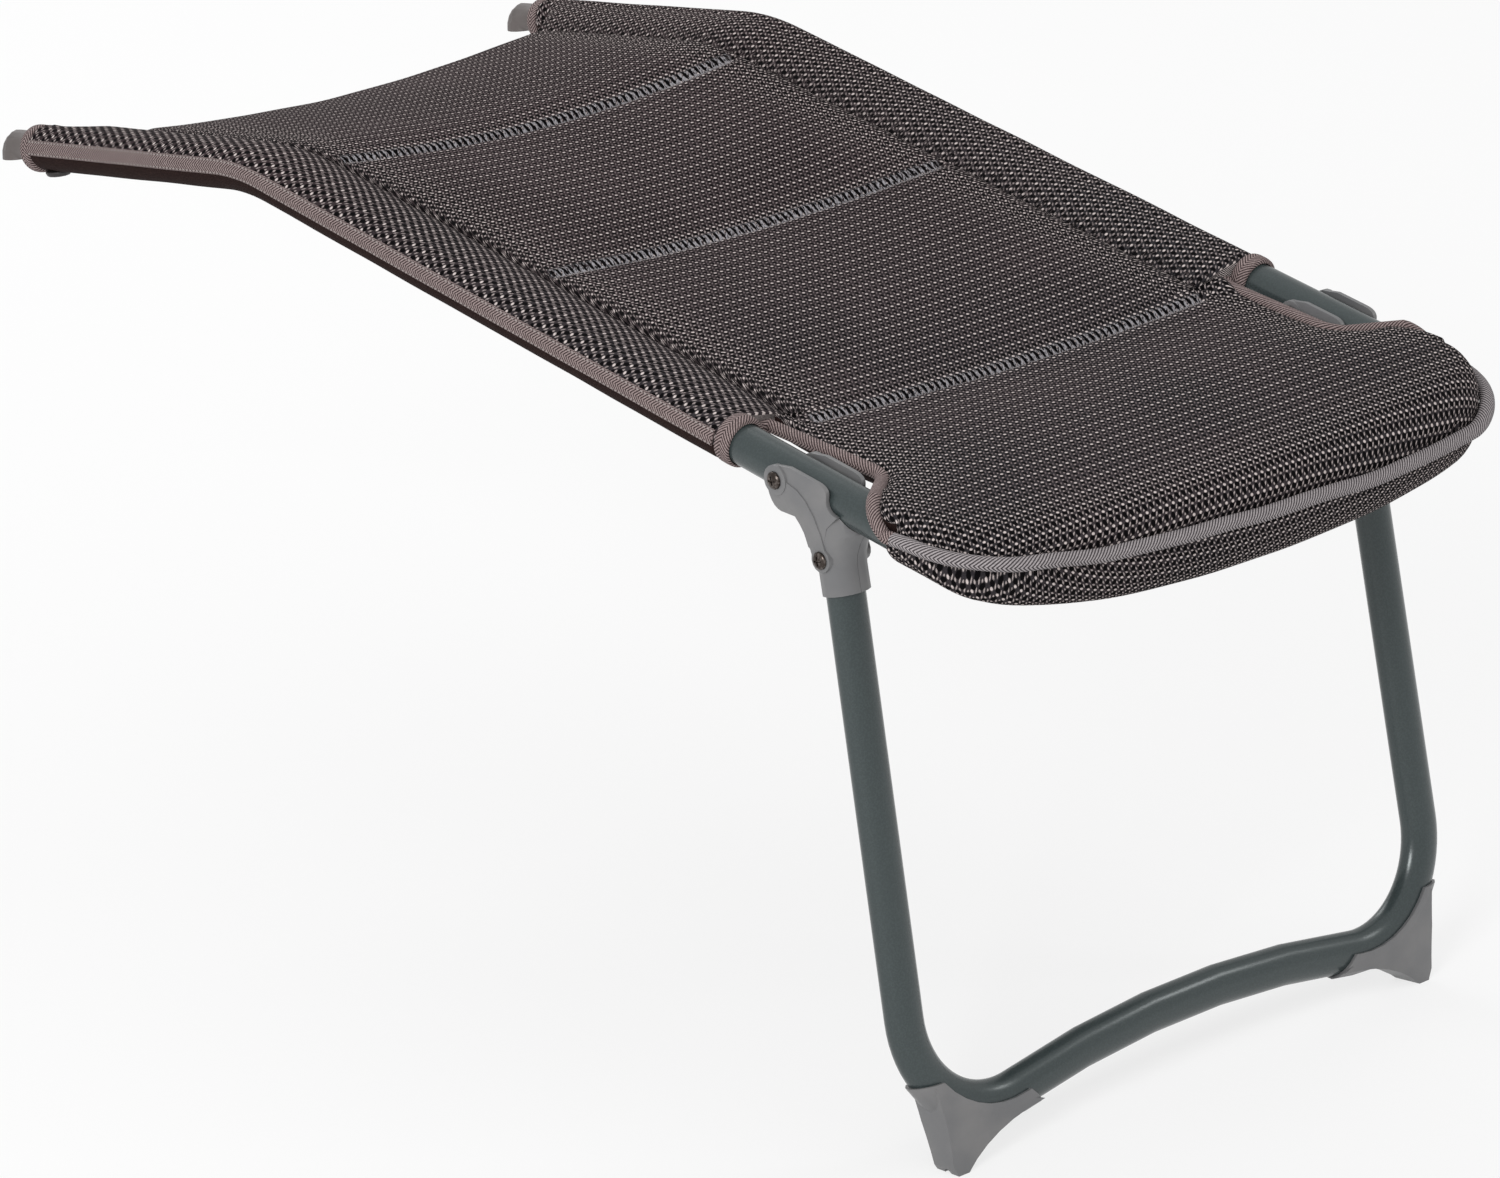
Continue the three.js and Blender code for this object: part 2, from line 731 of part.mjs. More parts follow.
function bendStations() {
  const stations = [];
  for (let step = 0; step <= rearBendSteps; step += 1) {
    stations.push(THREE.MathUtils.lerp(bendStart, bendEnd, step / rearBendSteps));
  }
  return stations;
}

function sideSleeve() {
  const middle = (sleeveStart + bendStart) / 2;
  const stations = [sleeveStart, middle, ...bendStations(), hemAlong, hemAlong + sleeveTaper, sleeveEnd];
  const boreRadius = railRadius + clothGap;
  const outer = stations.map((along) => sleeveSection(along).map(([inward, height]) => {
    return byRail(railHalf - inward, along, height);
  }));
  const inner = stations.map((along) => sleeveSection(along).map(([inward, height]) => {
    const stretch = boreRadius / Math.hypot(inward, height);
    return byRail(railHalf - inward * stretch, along, height * stretch);
  }));
  return toGeometry(cut(toSolid(boredLoft(outer, inner)), retainerBore(railHalf)));
}

const tapeShares = [0, 0.33, 0.67, 1];

function sideTape() {
  const stations = [sleeveStart, ...bendStations(), hemAlong + sleeveTaper, sleeveEnd];
  const layer = (lift) => stations.map((along) => tapeShares.map((share) => {
    const angle = THREE.MathUtils.lerp(tapeStart, tapeEnd, share);
    const radius = THREE.MathUtils.lerp(sleeveSideRadius, sleeveLowRadius, sleeveClosing(along)) + lift;
    return byRail(railHalf - radius * Math.cos(angle), along, radius * Math.sin(angle));
  }));
  return between(layer(gap + tapeThickness), layer(gap));
}

// Binding round a sleeve's end, thicker on one side of the rail
function sleeveRing(from, { top, bottom }) {
  const inner = railRadius + clothGap;
  const edge = (Math.min(top, bottom) - inner) / 2;
  const ring = (along, radiusAt) => ovalPoints(1, 1, smallSides).map((point) => {
    const radius = radiusAt(point.y);
    return byRail(railHalf + radius * point.x, along, radius * point.y);
  });
  const stations = [[0, edge], [edge, 0], [ringWidth - edge, 0], [ringWidth, edge]];
  const outer = stations.map(([width, inset]) => {
    return ring(from + width, (upward) => THREE.MathUtils.mapLinear(upward, -1, 1, bottom, top) - inset);
  });
  const bore = stations.map(([width]) => ring(from + width, () => inner));
  return boredLoft(outer, bore);
}

// Binding round the notch and over the rail, to the end of the front lip

const bindingOffset = pipingRadius + gap;
const bindingRise = railRadius + clothGap + bindingOffset;
const notchBindingShares = [0, 0.3, 0.6, 0.85];
const mouthTurns = [88, 78, 69, 60, 51, 42, 33, 24, 15, 7, 2.5];

function bindingHeight(x) {
  const reach = x > railHalf ? pocketHalfWidth + bindingOffset - railHalf : bindingRise;
  const over = Math.sqrt(Math.max(1 - ((x - railHalf) / reach) ** 2, 0)) * bindingRise;
  return x > railHalf ? over : Math.max(over, notchBindingRise.mouth);
}

function notchBinding(grow = 0) {
  const start = sleeveStart - ringWidth - gap;
  const points = notchBindingShares.map((share) => {
    const along = THREE.MathUtils.lerp(start, mouthEnd + bindingOffset, share);
    const height = THREE.MathUtils.lerp(notchBindingRise.ring, notchBindingRise.mouth, share);
    return byRail(notchHalfWidth + bindingOffset, along, height);
  });
  for (const turn of mouthTurns) {
    const across = Math.cos(turn * degrees) ** (2 / mouthRoundness);
    const behind = Math.sin(turn * degrees) ** (2 / mouthRoundness);
    const x = mouthCentreX + (mouthInset + bindingOffset) * across;
    const along = cornerCentre + (mouthLength + bindingOffset) * behind;
    points.push(byRail(x, along, bindingHeight(x)));
  }
  const radius = pipingRadius + grow;
  const curve = new THREE.CatmullRomCurve3(points);
  return sweep(curve, bindingSteps, ovalPoints(radius, radius, pipingSides));
}

// Flat lip round the front of the pocket, rounder where it meets the notch bindings
function frontLip() {
  const start = new THREE.Vector3(0, -pocketFront - gap, 0);
  const up = new THREE.Vector3(0, 0, 1);
  const bowAngle = Math.asin(cornerMeetX / pocketBowRadius);
  const path = wholePath(bentHalf(start, new THREE.Vector3(1, 0, 0), [
    { angle: bowAngle, radius: pocketBowRadius + gap, axis: up, steps: bowSteps },
    { angle: Math.PI / 2 - bowAngle, radius: pocketCornerRadius + gap, axis: up, steps: bendSteps },
  ]));
  return loft(path.stations.map(({ point, heading }) => {
    const outward = new THREE.Vector3(heading.y, -heading.x, 0);
    const ahead = Math.abs(outward.y);
    const halfWidth = THREE.MathUtils.lerp(pipingRadius, lipHalfWidth, ahead);
    const halfHeight = THREE.MathUtils.lerp(pipingRadius, lipHalfHeight, ahead);
    return ovalPoints(halfWidth, halfHeight, pipingSides).map(({ x, y }) => {
      return point.clone().addScaledVector(outward, halfWidth + x).addScaledVector(up, y);
    });
  }));
}

// Leg tube, in the leg's own frame with the hinge at its origin

const pivotHeight = railHeight + pivotAlong * Math.sin(railSlope);
const floorLevel = -(pivotHeight + legSetback * Math.sin(legLean)) / Math.cos(legLean);
const legWidest = railHalf + legFlare;
const cornerCentreLegX = legWidest - legCornerRadius;
const archRadius = cornerCentreLegX / Math.sin(crossBarArch) - legCornerRadius;
const archTop = floorLevel + crossBarLift;
const legCornerLevel = archTop - archRadius + (archRadius + legCornerRadius) * Math.cos(crossBarArch);
const railUnderLegFront = -(legSetback + legDepth / 2) * Math.tan(rake) - railRadius / Math.cos(rake);
const legTopLevel = railUnderLegFront - saddleWeb;

// Centre line of the leg's straight run at a level below the hinge
function legX(level) {
  const tangentX = cornerCentreLegX + legCornerRadius * Math.cos(legSplay);
  const tangentLevel = legCornerLevel + legCornerRadius * Math.sin(legSplay);
  return tangentX - (level - tangentLevel) * Math.tan(legSplay);
}

function legPath() {
  const start = new THREE.Vector3(0, -legSetback, archTop);
  const turnDown = new THREE.Vector3(0, 1, 0);
  const turnUp = new THREE.Vector3(0, -1, 0);
  const cornerTop = legCornerLevel + legCornerRadius * Math.sin(legSplay);
  return wholePath(bentHalf(start, new THREE.Vector3(1, 0, 0), [
    { angle: crossBarArch, radius: archRadius, axis: turnDown, steps: archSteps },
    { angle: crossBarArch + Math.PI / 2 + legSplay, radius: legCornerRadius, axis: turnUp, steps: bendSteps },
    { run: (legTopLevel - cornerTop) / Math.cos(legSplay) },
  ]));
}

function legBar(grow, wall = null) {
  const path = legPath();
  const halfDepth = legDepth / 2 + grow;
  const halfWidth = legWidth / 2 + grow;
  const bore = wall === null ? null : ovalPoints(halfDepth - wall, halfWidth - wall, boreSides);
  return sweep(path, path.stations.length - 1, ovalPoints(halfDepth, halfWidth, tubeSides), bore);
}

function legTube() {
  const tools = [-1, 1].map((side) => {
    const x = side * legX(-legScrewReach);
    return alongX(screwRadius + gap, x - legWidth, x + legWidth, -legSetback, -legScrewReach);
  });
  return toGeometry(cut(toSolid(legBar(0, legWall)), ...tools));
}

// Hinge bracket, right side, in the leg's frame

const socketHalfWidth = legWidth / 2 + socketWall;
const socketHalfDepth = legDepth / 2 + socketWall;
const pivotPlace = { y: 0, z: 0, face: cheekOutside + pivotBossHeight, bossRadius: pivotBossRadius };
const legPlace = {
  y: -legSetback,
  z: -legScrewReach,
  face: cheekOutside + legBossHeight,
  bossRadius: legBossRadius,
};
const screwPlaces = [pivotPlace, legPlace];

// Point given along and square to the rail, from the hinge, in the leg's frame
function fromRail(along, height) {
  return new THREE.Vector2(
    along * Math.cos(rake) - height * Math.sin(rake),
    along * Math.sin(rake) + height * Math.cos(rake),
  );
}

function cheekOutline() {
  const nose = railRadius + legSetback;
  const foot = -(railRadius + pivotBossRadius);
  const socketBack = -legSetback + socketHalfDepth;
  const shape = new THREE.Shape();
  const go = (point) => shape.lineTo(point.x, point.y);
  const turn = (corner, to) => shape.quadraticCurveTo(corner.x, corner.y, to.x, to.y);
  const bossTop = fromRail(0, pivotBossRadius);
  shape.moveTo(bossTop.x, bossTop.y);
  go(fromRail(-pivotBossRadius, cheekRise));
  go(fromRail(-nose + pivotBossRadius, cheekRise));
  turn(fromRail(-nose, cheekRise), fromRail(-nose, cheekRise / 2));
  turn(fromRail(-nose, -saddleCover), fromRail(-nose - cheekSweep, -saddleCover));
  go(fromRail(-nose - socketWall, -cheekInside));
  shape.lineTo(-legSetback, -legScrewReach);
  shape.lineTo(socketBack - socketWall, -legScrewReach + legBossRadius);
  turn(new THREE.Vector2(socketBack, foot - socketWall), new THREE.Vector2(socketBack + socketWall, foot));
  go(new THREE.Vector2(0, foot + socketWall));
  turn(new THREE.Vector2(pivotBossRadius, foot + 2 * socketWall), new THREE.Vector2(pivotBossRadius, 0));
  turn(new THREE.Vector2(pivotBossRadius, pivotBossRadius), bossTop);
  return shape;
}

// Raised curved field from the upper boss to the lower one
const lobeEndShare = 0.8;

function lobeOutline() {
  const upper = new THREE.Vector2(0, 0);
  const lower = new THREE.Vector2(-legSetback, -legScrewReach);
  const shape = new THREE.Shape();
  shape.moveTo(upper.x, upper.y);
  shape.quadraticCurveTo(lower.x, upper.y, lower.x - legBossRadius * lobeEndShare, lower.y);
  shape.lineTo(lower.x + legBossRadius * lobeEndShare, lower.y);
  shape.quadraticCurveTo(lower.x + pivotBossRadius, upper.y - legScrewReach / 2, upper.x, upper.y - pivotBossRadius);
  return shape;
}

function plateAt(shape, from, to) {
  const geometry = new THREE.ExtrudeGeometry(shape, { depth: to - from, bevelEnabled: false, curveSegments: outlineSteps });
  const axes = new THREE.Matrix4().set(0, 0, 1, from, 1, 0, 0, 0, 0, 1, 0, 0, 0, 0, 0, 1);
  geometry.applyMatrix4(axes);
  return geometry;
}

const flareShares = [0, 0.35, 0.7, 1];

function socketBody() {
  const front = fromRail(-saddleReach, -cheekInside).x;
  const back = -legSetback + socketHalfDepth;
  const saddleLevel = fromRail(-saddleReach, -cheekInside).y;
  const flareStart = saddleLevel - flareHeight;
  const rings = [{ level: -socketReach, front: -legSetback - socketHalfDepth }];
  for (const share of flareShares) {
    const eased = share ** 2;
    rings.push({
      level: THREE.MathUtils.lerp(flareStart, saddleLevel, share),
      front: THREE.MathUtils.lerp(-legSetback - socketHalfDepth, front, eased),
    });
  }
  rings.push({ level: 0, front });
  return loft(rings.map(({ level, front: reach }) => {
    const centre = (back + reach) / 2;
    return ovalPoints(socketHalfWidth, (back - reach) / 2, bossSides).map((point) => {
      return new THREE.Vector3(railHalf + point.x, centre + point.y, level);
    });
  }));
}

function railCutter() {
  const reach = legSetback + saddleReach + overrun;
  const geometry = new THREE.CylinderGeometry(cheekInside, cheekInside, 2 * reach, 2 * tubeSides);
  geometry.rotateX(rake);
  geometry.translate(railHalf, 0, 0);
  return geometry;
}

function aboveSaddle() {
  const reach = legSetback + saddleReach;
  const geometry = block(
    new THREE.Vector3(-railHalf, -reach, -saddleCover),
    new THREE.Vector3(railHalf, reach, reach),
  );
  geometry.rotateX(rake);
  geometry.translate(railHalf, 0, 0);
  return geometry;
}

function legCutter() {
  const halfDepth = legDepth / 2 + gap;
  const halfWidth = legWidth / 2 + gap;
  const ring = (level) => ovalPoints(halfWidth, halfDepth, 2 * tubeSides).map((point) => {
    return new THREE.Vector3(legX(level) + point.x, point.y - legSetback, level);
  });
  return loft([ring(-socketReach - overrun), ring(legTopLevel + 2 * gap)]);
}

function hingeBracket() {
  const saddle = cut(toSolid(socketBody()), aboveSaddle());
  const plates = [];
  for (const side of [-1, 1]) {
    const face = (shape, reach) => {
      const [from, to] = side < 0 ? [-reach, -cheekInside] : [cheekInside, reach];
      return plateAt(shape, railHalf + from, railHalf + to);
    };
    plates.push(face(cheekOutline(), cheekOutside));
    plates.push(face(lobeOutline(), cheekOutside + lobeHeight));
    for (const { y, z, face: bossFace, bossRadius } of screwPlaces) {
      const [from, to] = side < 0 ? [-bossFace, -cheekInside] : [cheekInside, bossFace];
      plates.push(alongX(bossRadius, railHalf + from, railHalf + to, y, z, bossSides));
    }
  }
  const whole = plates.map(toSolid).reduce((body, plate) => body.add(plate), saddle);
  return cut(whole, railCutter(), legCutter(), ...screwCutters());
}

function screwCutters() {
  const reach = cheekOutside + overrun;
  return screwPlaces.flatMap(({ y, z, face }) => {
    const bore = alongX(screwRadius + gap, railHalf - reach, railHalf + reach, y, z);
    const recess = alongX(nutRadius + gap, railHalf - reach, railHalf - face + nutRecess, y, z, hexSides);
    return [bore, recess];
  });
}

function bracketHalf(outer) {
  const reach = cheekOutside + overrun;
  const [from, to] = outer ? [gap / 2, reach] : [-reach, -gap / 2];
  const half = block(
    new THREE.Vector3(railHalf + from, -saddleReach - overrun, -socketReach - overrun),
    new THREE.Vector3(railHalf + to, pivotBossRadius + overrun, railRadius + legSetback),
  );
  return toGeometry(hingeBracket().intersect(toSolid(half)));
}

// Screws, nuts and spacers of the right bracket

function panScrew({ y, z, face }) {
  const seat = face + gap;
  const tip = -(face - nutRecess + gap + nutHeight + screwTipLength);
  const profile = new THREE.Path();
  profile.moveTo(0, tip);
  profile.lineTo(screwRadius, tip);
  profile.lineTo(screwRadius, seat);
  profile.lineTo(screwHeadRadius, seat);
  profile.quadraticCurveTo(screwHeadRadius, seat + screwHeadHeight, 0, seat + screwHeadHeight);
  const geometry = new THREE.LatheGeometry(profile.getPoints(screwHeadSteps), smallSides);
  geometry.rotateZ(-Math.PI / 2);
  geometry.translate(railHalf, y, z);
  const top = railHalf + seat + screwHeadHeight;
  const slot = (width, height) => block(
    new THREE.Vector3(top - crossSlotDepth, y - width / 2, z - height / 2),
    new THREE.Vector3(top + overrun, y + width / 2, z + height / 2),
  );
  const cross = [slot(crossSlotWidth, crossSlotLength), slot(crossSlotLength, crossSlotWidth)];
  return toGeometry(cut(toSolid(geometry), ...cross));
}

function hexNut({ y, z, face }) {
  const seat = -(face - nutRecess + gap);
  const body = alongX(nutRadius, railHalf + seat - nutHeight, railHalf + seat, y, z, hexSides);
  const reach = nutHeight + overrun;
  const bore = alongX(screwRadius + gap, railHalf + seat - reach, railHalf + seat + reach, y, z);
  return toGeometry(cut(toSolid(body), bore));
}

function pivotSpacer() {
  const half = cheekInside - gap;
  const bore = screwRadius + gap;
  const profile = [[bore, -half], [spacerRadius, -half], [spacerRadius, half], [bore, half], [bore, -half]];
  const geometry = new THREE.LatheGeometry(profile.map(([r, h]) => new THREE.Vector2(r, h)), smallSides);
  geometry.rotateZ(-Math.PI / 2);
  geometry.translate(railHalf, 0, 0);
  return geometry;
}

// Foot cap, right side: a shell round the lower half of the leg's corner, on a web that ends in the sole

const footHornLevel = floorLevel + footHornRise;
const footToeX = legWidest - footToeReach;

// Centre line of the leg tube from the toe round the corner to the horn
function footRim() {
  const points = [];
  const toe = footToeX + footToeSlant;
  const hornAngle = 2 * Math.PI + Math.asin((footHornLevel - legCornerLevel) / legCornerRadius);
  points.push([toe, archTop - archRadius + Math.sqrt(archRadius ** 2 - toe ** 2)]);
  for (let step = 0; step <= bendSteps; step += 1) {
    const angle = THREE.MathUtils.lerp(Math.PI * 1.5 - crossBarArch, hornAngle, step / bendSteps);
    const level = legCornerLevel + legCornerRadius * Math.sin(angle);
    points.push([cornerCentreLegX + legCornerRadius * Math.cos(angle), level]);
  }
  return points;
}

function footShellOutline() {
  const shape = new THREE.Shape();
  shape.moveTo(legWidest + legWidth, footHornLevel);
  shape.lineTo(legWidest + legWidth, floorLevel - legWidth);
  shape.lineTo(footToeX, floorLevel - legWidth);
  shape.lineTo(footToeX, footRim()[0][1] - legWidth / 2);
  for (const [x, level] of footRim()) shape.lineTo(x, level);
  return shape;
}

function footWebOutline() {
  const outer = legWidest - footSoleInset;
  const inner = outer - footSoleWidth;
  const sole = floorLevel - footWall;
  const shape = new THREE.Shape();
  const horn = legWidest - footHornInset;
  shape.moveTo(horn, footHornLevel - footWall);
  shape.quadraticCurveTo(outer + footWall / 2, floorLevel + footHornRise / 2, outer, floorLevel + footCorner);
  shape.lineTo(outer - footCorner + footWall / 2, sole);
  shape.lineTo(inner, sole);
  const heel = [inner - 2 * footSoleWidth, floorLevel + footWebHollow + footWebRise / 2];
  shape.quadraticCurveTo(...heel, inner - footWebReach, floorLevel + footWebRise);
  for (const [x, level] of footRim().slice(2)) shape.lineTo(Math.min(x, horn), level);
  return shape;
}

function acrossLeg(shape, depth) {
  const geometry = new THREE.ExtrudeGeometry(shape, { depth, bevelEnabled: false, curveSegments: outlineSteps });
  geometry.rotateX(Math.PI / 2);
  geometry.translate(0, depth / 2 - legSetback, 0);
  return geometry;
}

function footCap() {
  const shell = toSolid(legBar(footWall)).intersect(toSolid(acrossLeg(footShellOutline(), 2 * legWidth)));
  const top = footHornLevel + legWidth;
  const bottom = floorLevel - legWidth;
  const profile = [
    [-footShoulderDepth / 2, top],
    [-footShoulderDepth / 2, legCornerLevel - legCornerRadius],
    [-footSoleDepth / 2, floorLevel],
    [-footSoleDepth / 2, bottom],
  ];
  const whole = [...profile, ...profile.map(([y, z]) => [-y, z]).reverse()];
  const taper = new THREE.Shape(whole.map(([y, z]) => new THREE.Vector2(y - legSetback, z)));
  const wedge = plateAt(taper, footToeX - legWidth, legWidest + legWidth);
  const web = toSolid(acrossLeg(footWebOutline(), 2 * legWidth)).intersect(toSolid(wedge));
  const floor = block(
    new THREE.Vector3(0, -railSpacing, -railSpacing),
    new THREE.Vector3(railSpacing, railSpacing, 0),
  );
  floor.translate(0, 0, -pivotHeight);
  floor.rotateX(legLean);
  const hole = squareToRun(footHoleRadius, floorLevel - legWidth, floorLevel + footHoleDepth, -legSetback);
  hole.translate(legWidest - footHoleInset, 0, 0);
  return toGeometry(cut(shell.add(web), legBar(gap), floor, hole));
}

// Assembly

const part = new THREE.Group();
const rails = new THREE.Group();
rails.position.z = railHeight;
rails.rotation.x = railSlope;
const leg = new THREE.Group();
leg.position.set(0, pivotAlong * Math.cos(railSlope), pivotHeight);
leg.rotation.x = -legLean;
part.add(rails, leg);

function place(group, name, geometry, material) {
  geometry.computeVertexNormals();
  const mesh = new THREE.Mesh(geometry, material);
  mesh.name = name;
  group.add(mesh);
}

function placePair(group, name, geometry, material) {
  place(group, `${name}_left`, mirrored(geometry), material());
  place(group, `${name}_right`, geometry, material());
}

place(rails, "frame_tube", frameTube(), finishes.tube());
placePair(rails, "rear_clip", rearClip(), finishes.plastic);
placePair(rails, "clip_screw", retainingScrew(), finishes.darkPlastic);
place(rails, "seat_pad", seatPad(), finishes.mesh());
place(rails, "pocket_underside", pocketUnderside(), finishes.mesh());
place(rails, "front_piping", frontLip(), finishes.tape());
placePair(rails, "notch_binding", notchBinding(), finishes.tape);
placePair(rails, "side_sleeve", sideSleeve(), finishes.mesh);
placePair(rails, "side_tape", sideTape(), finishes.tape);
placePair(rails, "sleeve_front_ring", sleeveRing(sleeveStart - ringWidth - gap, frontRing), finishes.tape);
placePair(rails, "sleeve_rear_ring", sleeveRing(sleeveEnd + gap, rearRing), finishes.tape);

place(leg, "leg_tube", legTube(), finishes.tube());
placePair(leg, "bracket_outer", bracketHalf(true), finishes.plastic);
placePair(leg, "bracket_inner", bracketHalf(false), finishes.plastic);
placePair(leg, "pivot_screw", panScrew(pivotPlace), finishes.steel);
placePair(leg, "pivot_nut", hexNut(pivotPlace), finishes.steel);
placePair(leg, "pivot_spacer", pivotSpacer(), finishes.steel);
placePair(leg, "leg_screw", panScrew(legPlace), finishes.steel);
placePair(leg, "leg_nut", hexNut(legPlace), finishes.steel);
placePair(leg, "foot_cap", footCap(), finishes.plastic);

// The origin lies on the floor under the middle of the part
part.updateMatrixWorld(true);
const bounds = new THREE.Box3().setFromObject(part, true);
part.position.y = -(bounds.min.y + bounds.max.y) / 2;

export default part;
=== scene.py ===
# Clip-on leg rest: a padded mesh cover on a bent tube frame, with a folding leg.
# The dictionaries hold millimetres and degrees; every finished mesh is in metres.
import json
import math

import bmesh
import bpy
from mathutils import Matrix, Vector, noise


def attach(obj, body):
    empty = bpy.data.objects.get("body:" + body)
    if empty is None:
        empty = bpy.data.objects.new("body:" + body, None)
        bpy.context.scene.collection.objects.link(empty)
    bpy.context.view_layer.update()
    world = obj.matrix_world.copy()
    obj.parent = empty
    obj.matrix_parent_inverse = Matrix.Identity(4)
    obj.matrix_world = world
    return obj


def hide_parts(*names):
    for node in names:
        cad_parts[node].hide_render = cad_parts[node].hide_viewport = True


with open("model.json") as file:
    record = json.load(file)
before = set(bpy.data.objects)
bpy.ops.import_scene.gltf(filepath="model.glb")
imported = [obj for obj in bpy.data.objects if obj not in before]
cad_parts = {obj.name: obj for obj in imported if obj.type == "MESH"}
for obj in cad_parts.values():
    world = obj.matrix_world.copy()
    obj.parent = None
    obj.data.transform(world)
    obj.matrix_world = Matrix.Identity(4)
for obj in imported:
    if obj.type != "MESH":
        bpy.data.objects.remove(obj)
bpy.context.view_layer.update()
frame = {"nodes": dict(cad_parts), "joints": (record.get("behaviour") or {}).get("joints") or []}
mm = 0.001
crosswise = Vector((1, 0, 0))

rail = {
    "half": 215,
    "radius": 12.5,
    "slope": 7.9,
    "rise": 619,  # to the corner of the rear bend
    "rearDrop": 9.5,
    "rearLength": 225,
    "rearBend": 150,
    "frontReach": 18,
    "frontCorner": 55,
    "hingeAlong": 123,
    "sides": 40,
}

slope = math.radians(rail["slope"])
rearTurn = slope + math.radians(rail["rearDrop"])
bendTangent = rail["rearBend"] * math.tan(rearTurn / 2)
bendStart = rail["rise"] - bendTangent
bendEnd = bendStart + rail["rearBend"] * rearTurn
railEnd = bendEnd + rail["rearLength"] - bendTangent
hinge = Vector(frame["joints"][0]["pos_m"]) / mm
alongRail = Vector((0, math.cos(slope), math.sin(slope)))
offRail = Vector((0, -math.sin(slope), math.cos(slope)))
railStart = hinge - alongRail * rail["hingeAlong"]


def mix(start, end, share):
    return start + (end - start) * share


def clamp(value, low=0.0, high=1.0):
    return min(max(value, low), high)


def smooth(value, start, end):
    share = clamp((value - start) / (end - start))
    return share * share * (3 - 2 * share)


def roundedRise(within, reach):
    # quarter round from 0 at an edge to 1 at a distance of reach from it
    return math.sqrt(1 - (1 - clamp(within / reach)) ** 2)


def evenly(count):
    # shares from 0 to 1
    return [step / count for step in range(count + 1)]


def crowded(count, crowding):
    # shares from 0 to 1 that crowd towards both ends
    return [share - crowding * math.sin(2 * math.pi * share) / (2 * math.pi) for share in evenly(count)]


def lookUp(table, place, otherwise=None, ease=False):
    # reads a table of places and values, between its neighbours
    for (start, low), (end, high) in zip(table, table[1:]):
        if start <= place <= end:
            share = smooth(place, start, end) if ease else (place - start) / (end - start)
            return mix(low, high, share)
    return otherwise


def onRail(x, along, height):
    # across the part, along the bent rail, square to it
    turn = clamp((along - bendStart) / rail["rearBend"], 0, rearTurn)
    after = max(along - bendEnd, 0)
    arm = rail["rearBend"] + height
    forward = min(along, bendStart) + arm * math.sin(turn) + after * math.cos(turn)
    fall = rail["rearBend"] * (1 - math.cos(turn)) + after * math.sin(turn)
    return railStart + crosswise * x + alongRail * forward + offRail * (height * math.cos(turn) - fall)


def mathsOf(operation, swapped=False):
    # a method that joins two values in one Math node
    def joined(self, other):
        return self.maths(operation, *((other, self) if swapped else (self, other)))

    return joined


# A Signal is a socket that can stand in a sum
class Signal:
    __add__ = mathsOf("ADD")
    __sub__ = mathsOf("SUBTRACT")
    __rsub__ = mathsOf("SUBTRACT", True)
    __mul__ = mathsOf("MULTIPLY")
    __truediv__ = mathsOf("DIVIDE")
    __pow__ = mathsOf("POWER")

    def __init__(self, finish, socket):
        self.finish = finish
        self.socket = socket

    def maths(self, operation, first, second=0.0):
        return self.finish.node("ShaderNodeMath", {"operation": operation}, {0: first, 1: second})

    def fraction(self):
        return self.maths("FRACT", self)

    def size(self):
        return self.maths("ABSOLUTE", self)

    def wave(self):
        return self.maths("SINE", self * (2 * math.pi))

    def fade(self, start, end):
        # 0 at start and 1 at end, whichever is the larger
        ends = (0.0, 1.0) if start < end else (1.0, 0.0)
        values = {"Value": self, "From Min": min(start, end), "From Max": max(start, end)}
        values.update({"To Min": ends[0], "To Max": ends[1]})
        return self.finish.node("ShaderNodeMapRange", {"interpolation_type": "SMOOTHSTEP"}, values)


class Finish:
    def __init__(self, name, color, roughness, metallic=0.0, gloss=0.5):
        self.material = bpy.data.materials.new(name)
        self.material.use_nodes = True
        self.material.diffuse_color = (*color, 1)
        self.tree = self.material.node_tree
        self.shader = self.tree.nodes["Principled BSDF"]
        self.put("Base Color", (*color, 1))
        self.put("Roughness", roughness)
        self.put("Metallic", metallic)
        self.put("Specular IOR Level", gloss)

    def put(self, name, value):
        self.feed(self.shader.inputs[name], value)

    def feed(self, socket, value):
        if isinstance(value, Signal):
            self.tree.links.new(value.socket, socket)
        else:
            socket.default_value = value

    def node(self, kind, settings=None, values=None, output=0):
        made = self.tree.nodes.new(kind)
        for name, value in (settings or {}).items():
            setattr(made, name, value)
        for name, value in (values or {}).items():
            self.feed(made.inputs[name], value)
        return Signal(self, made.outputs[output])

    def place(self):
        return self.node("ShaderNodeTexCoord", output="Object")

    def weaveAxes(self):
        # the piece's own unrolled map, in millimetres
        whole = self.node("ShaderNodeUVMap", {"uv_map": "weave"})
        split = self.node("ShaderNodeSeparateXYZ", None, {0: whole}).socket.node
        return [Signal(self, split.outputs[axis]) * 1000 for axis in (0, 1)]

    def grain(self, scale, detail=3.0):
        values = {"Vector": self.place(), "Scale": scale, "Detail": detail}
        return self.node("ShaderNodeTexNoise", None, values)

    def strands(self, u, v, lengths):
        # streaks on the unrolled map, this long across and along it
        spread = self.node("ShaderNodeCombineXYZ", None, {0: u / lengths[0], 1: v / lengths[1]})
        return self.node("ShaderNodeTexNoise", None, {"Vector": spread, "Scale": 1.0, "Detail": 2.0})

    def painted(self, name):
        return self.node("ShaderNodeAttribute", {"attribute_name": name}, output="Fac")

    def blend(self, share, low, high):
        colors = [color if isinstance(color, Signal) else (*color, 1) for color in (low, high)]
        values = {0: share, 6: colors[0], 7: colors[1]}
        return self.node("ShaderNodeMix", {"data_type": "RGBA"}, values, 2)

    def relief(self, height, distance, strength=1.0):
        values = {"Height": height, "Distance": distance * mm, "Strength": strength}
        return self.node("ShaderNodeBump", None, values)


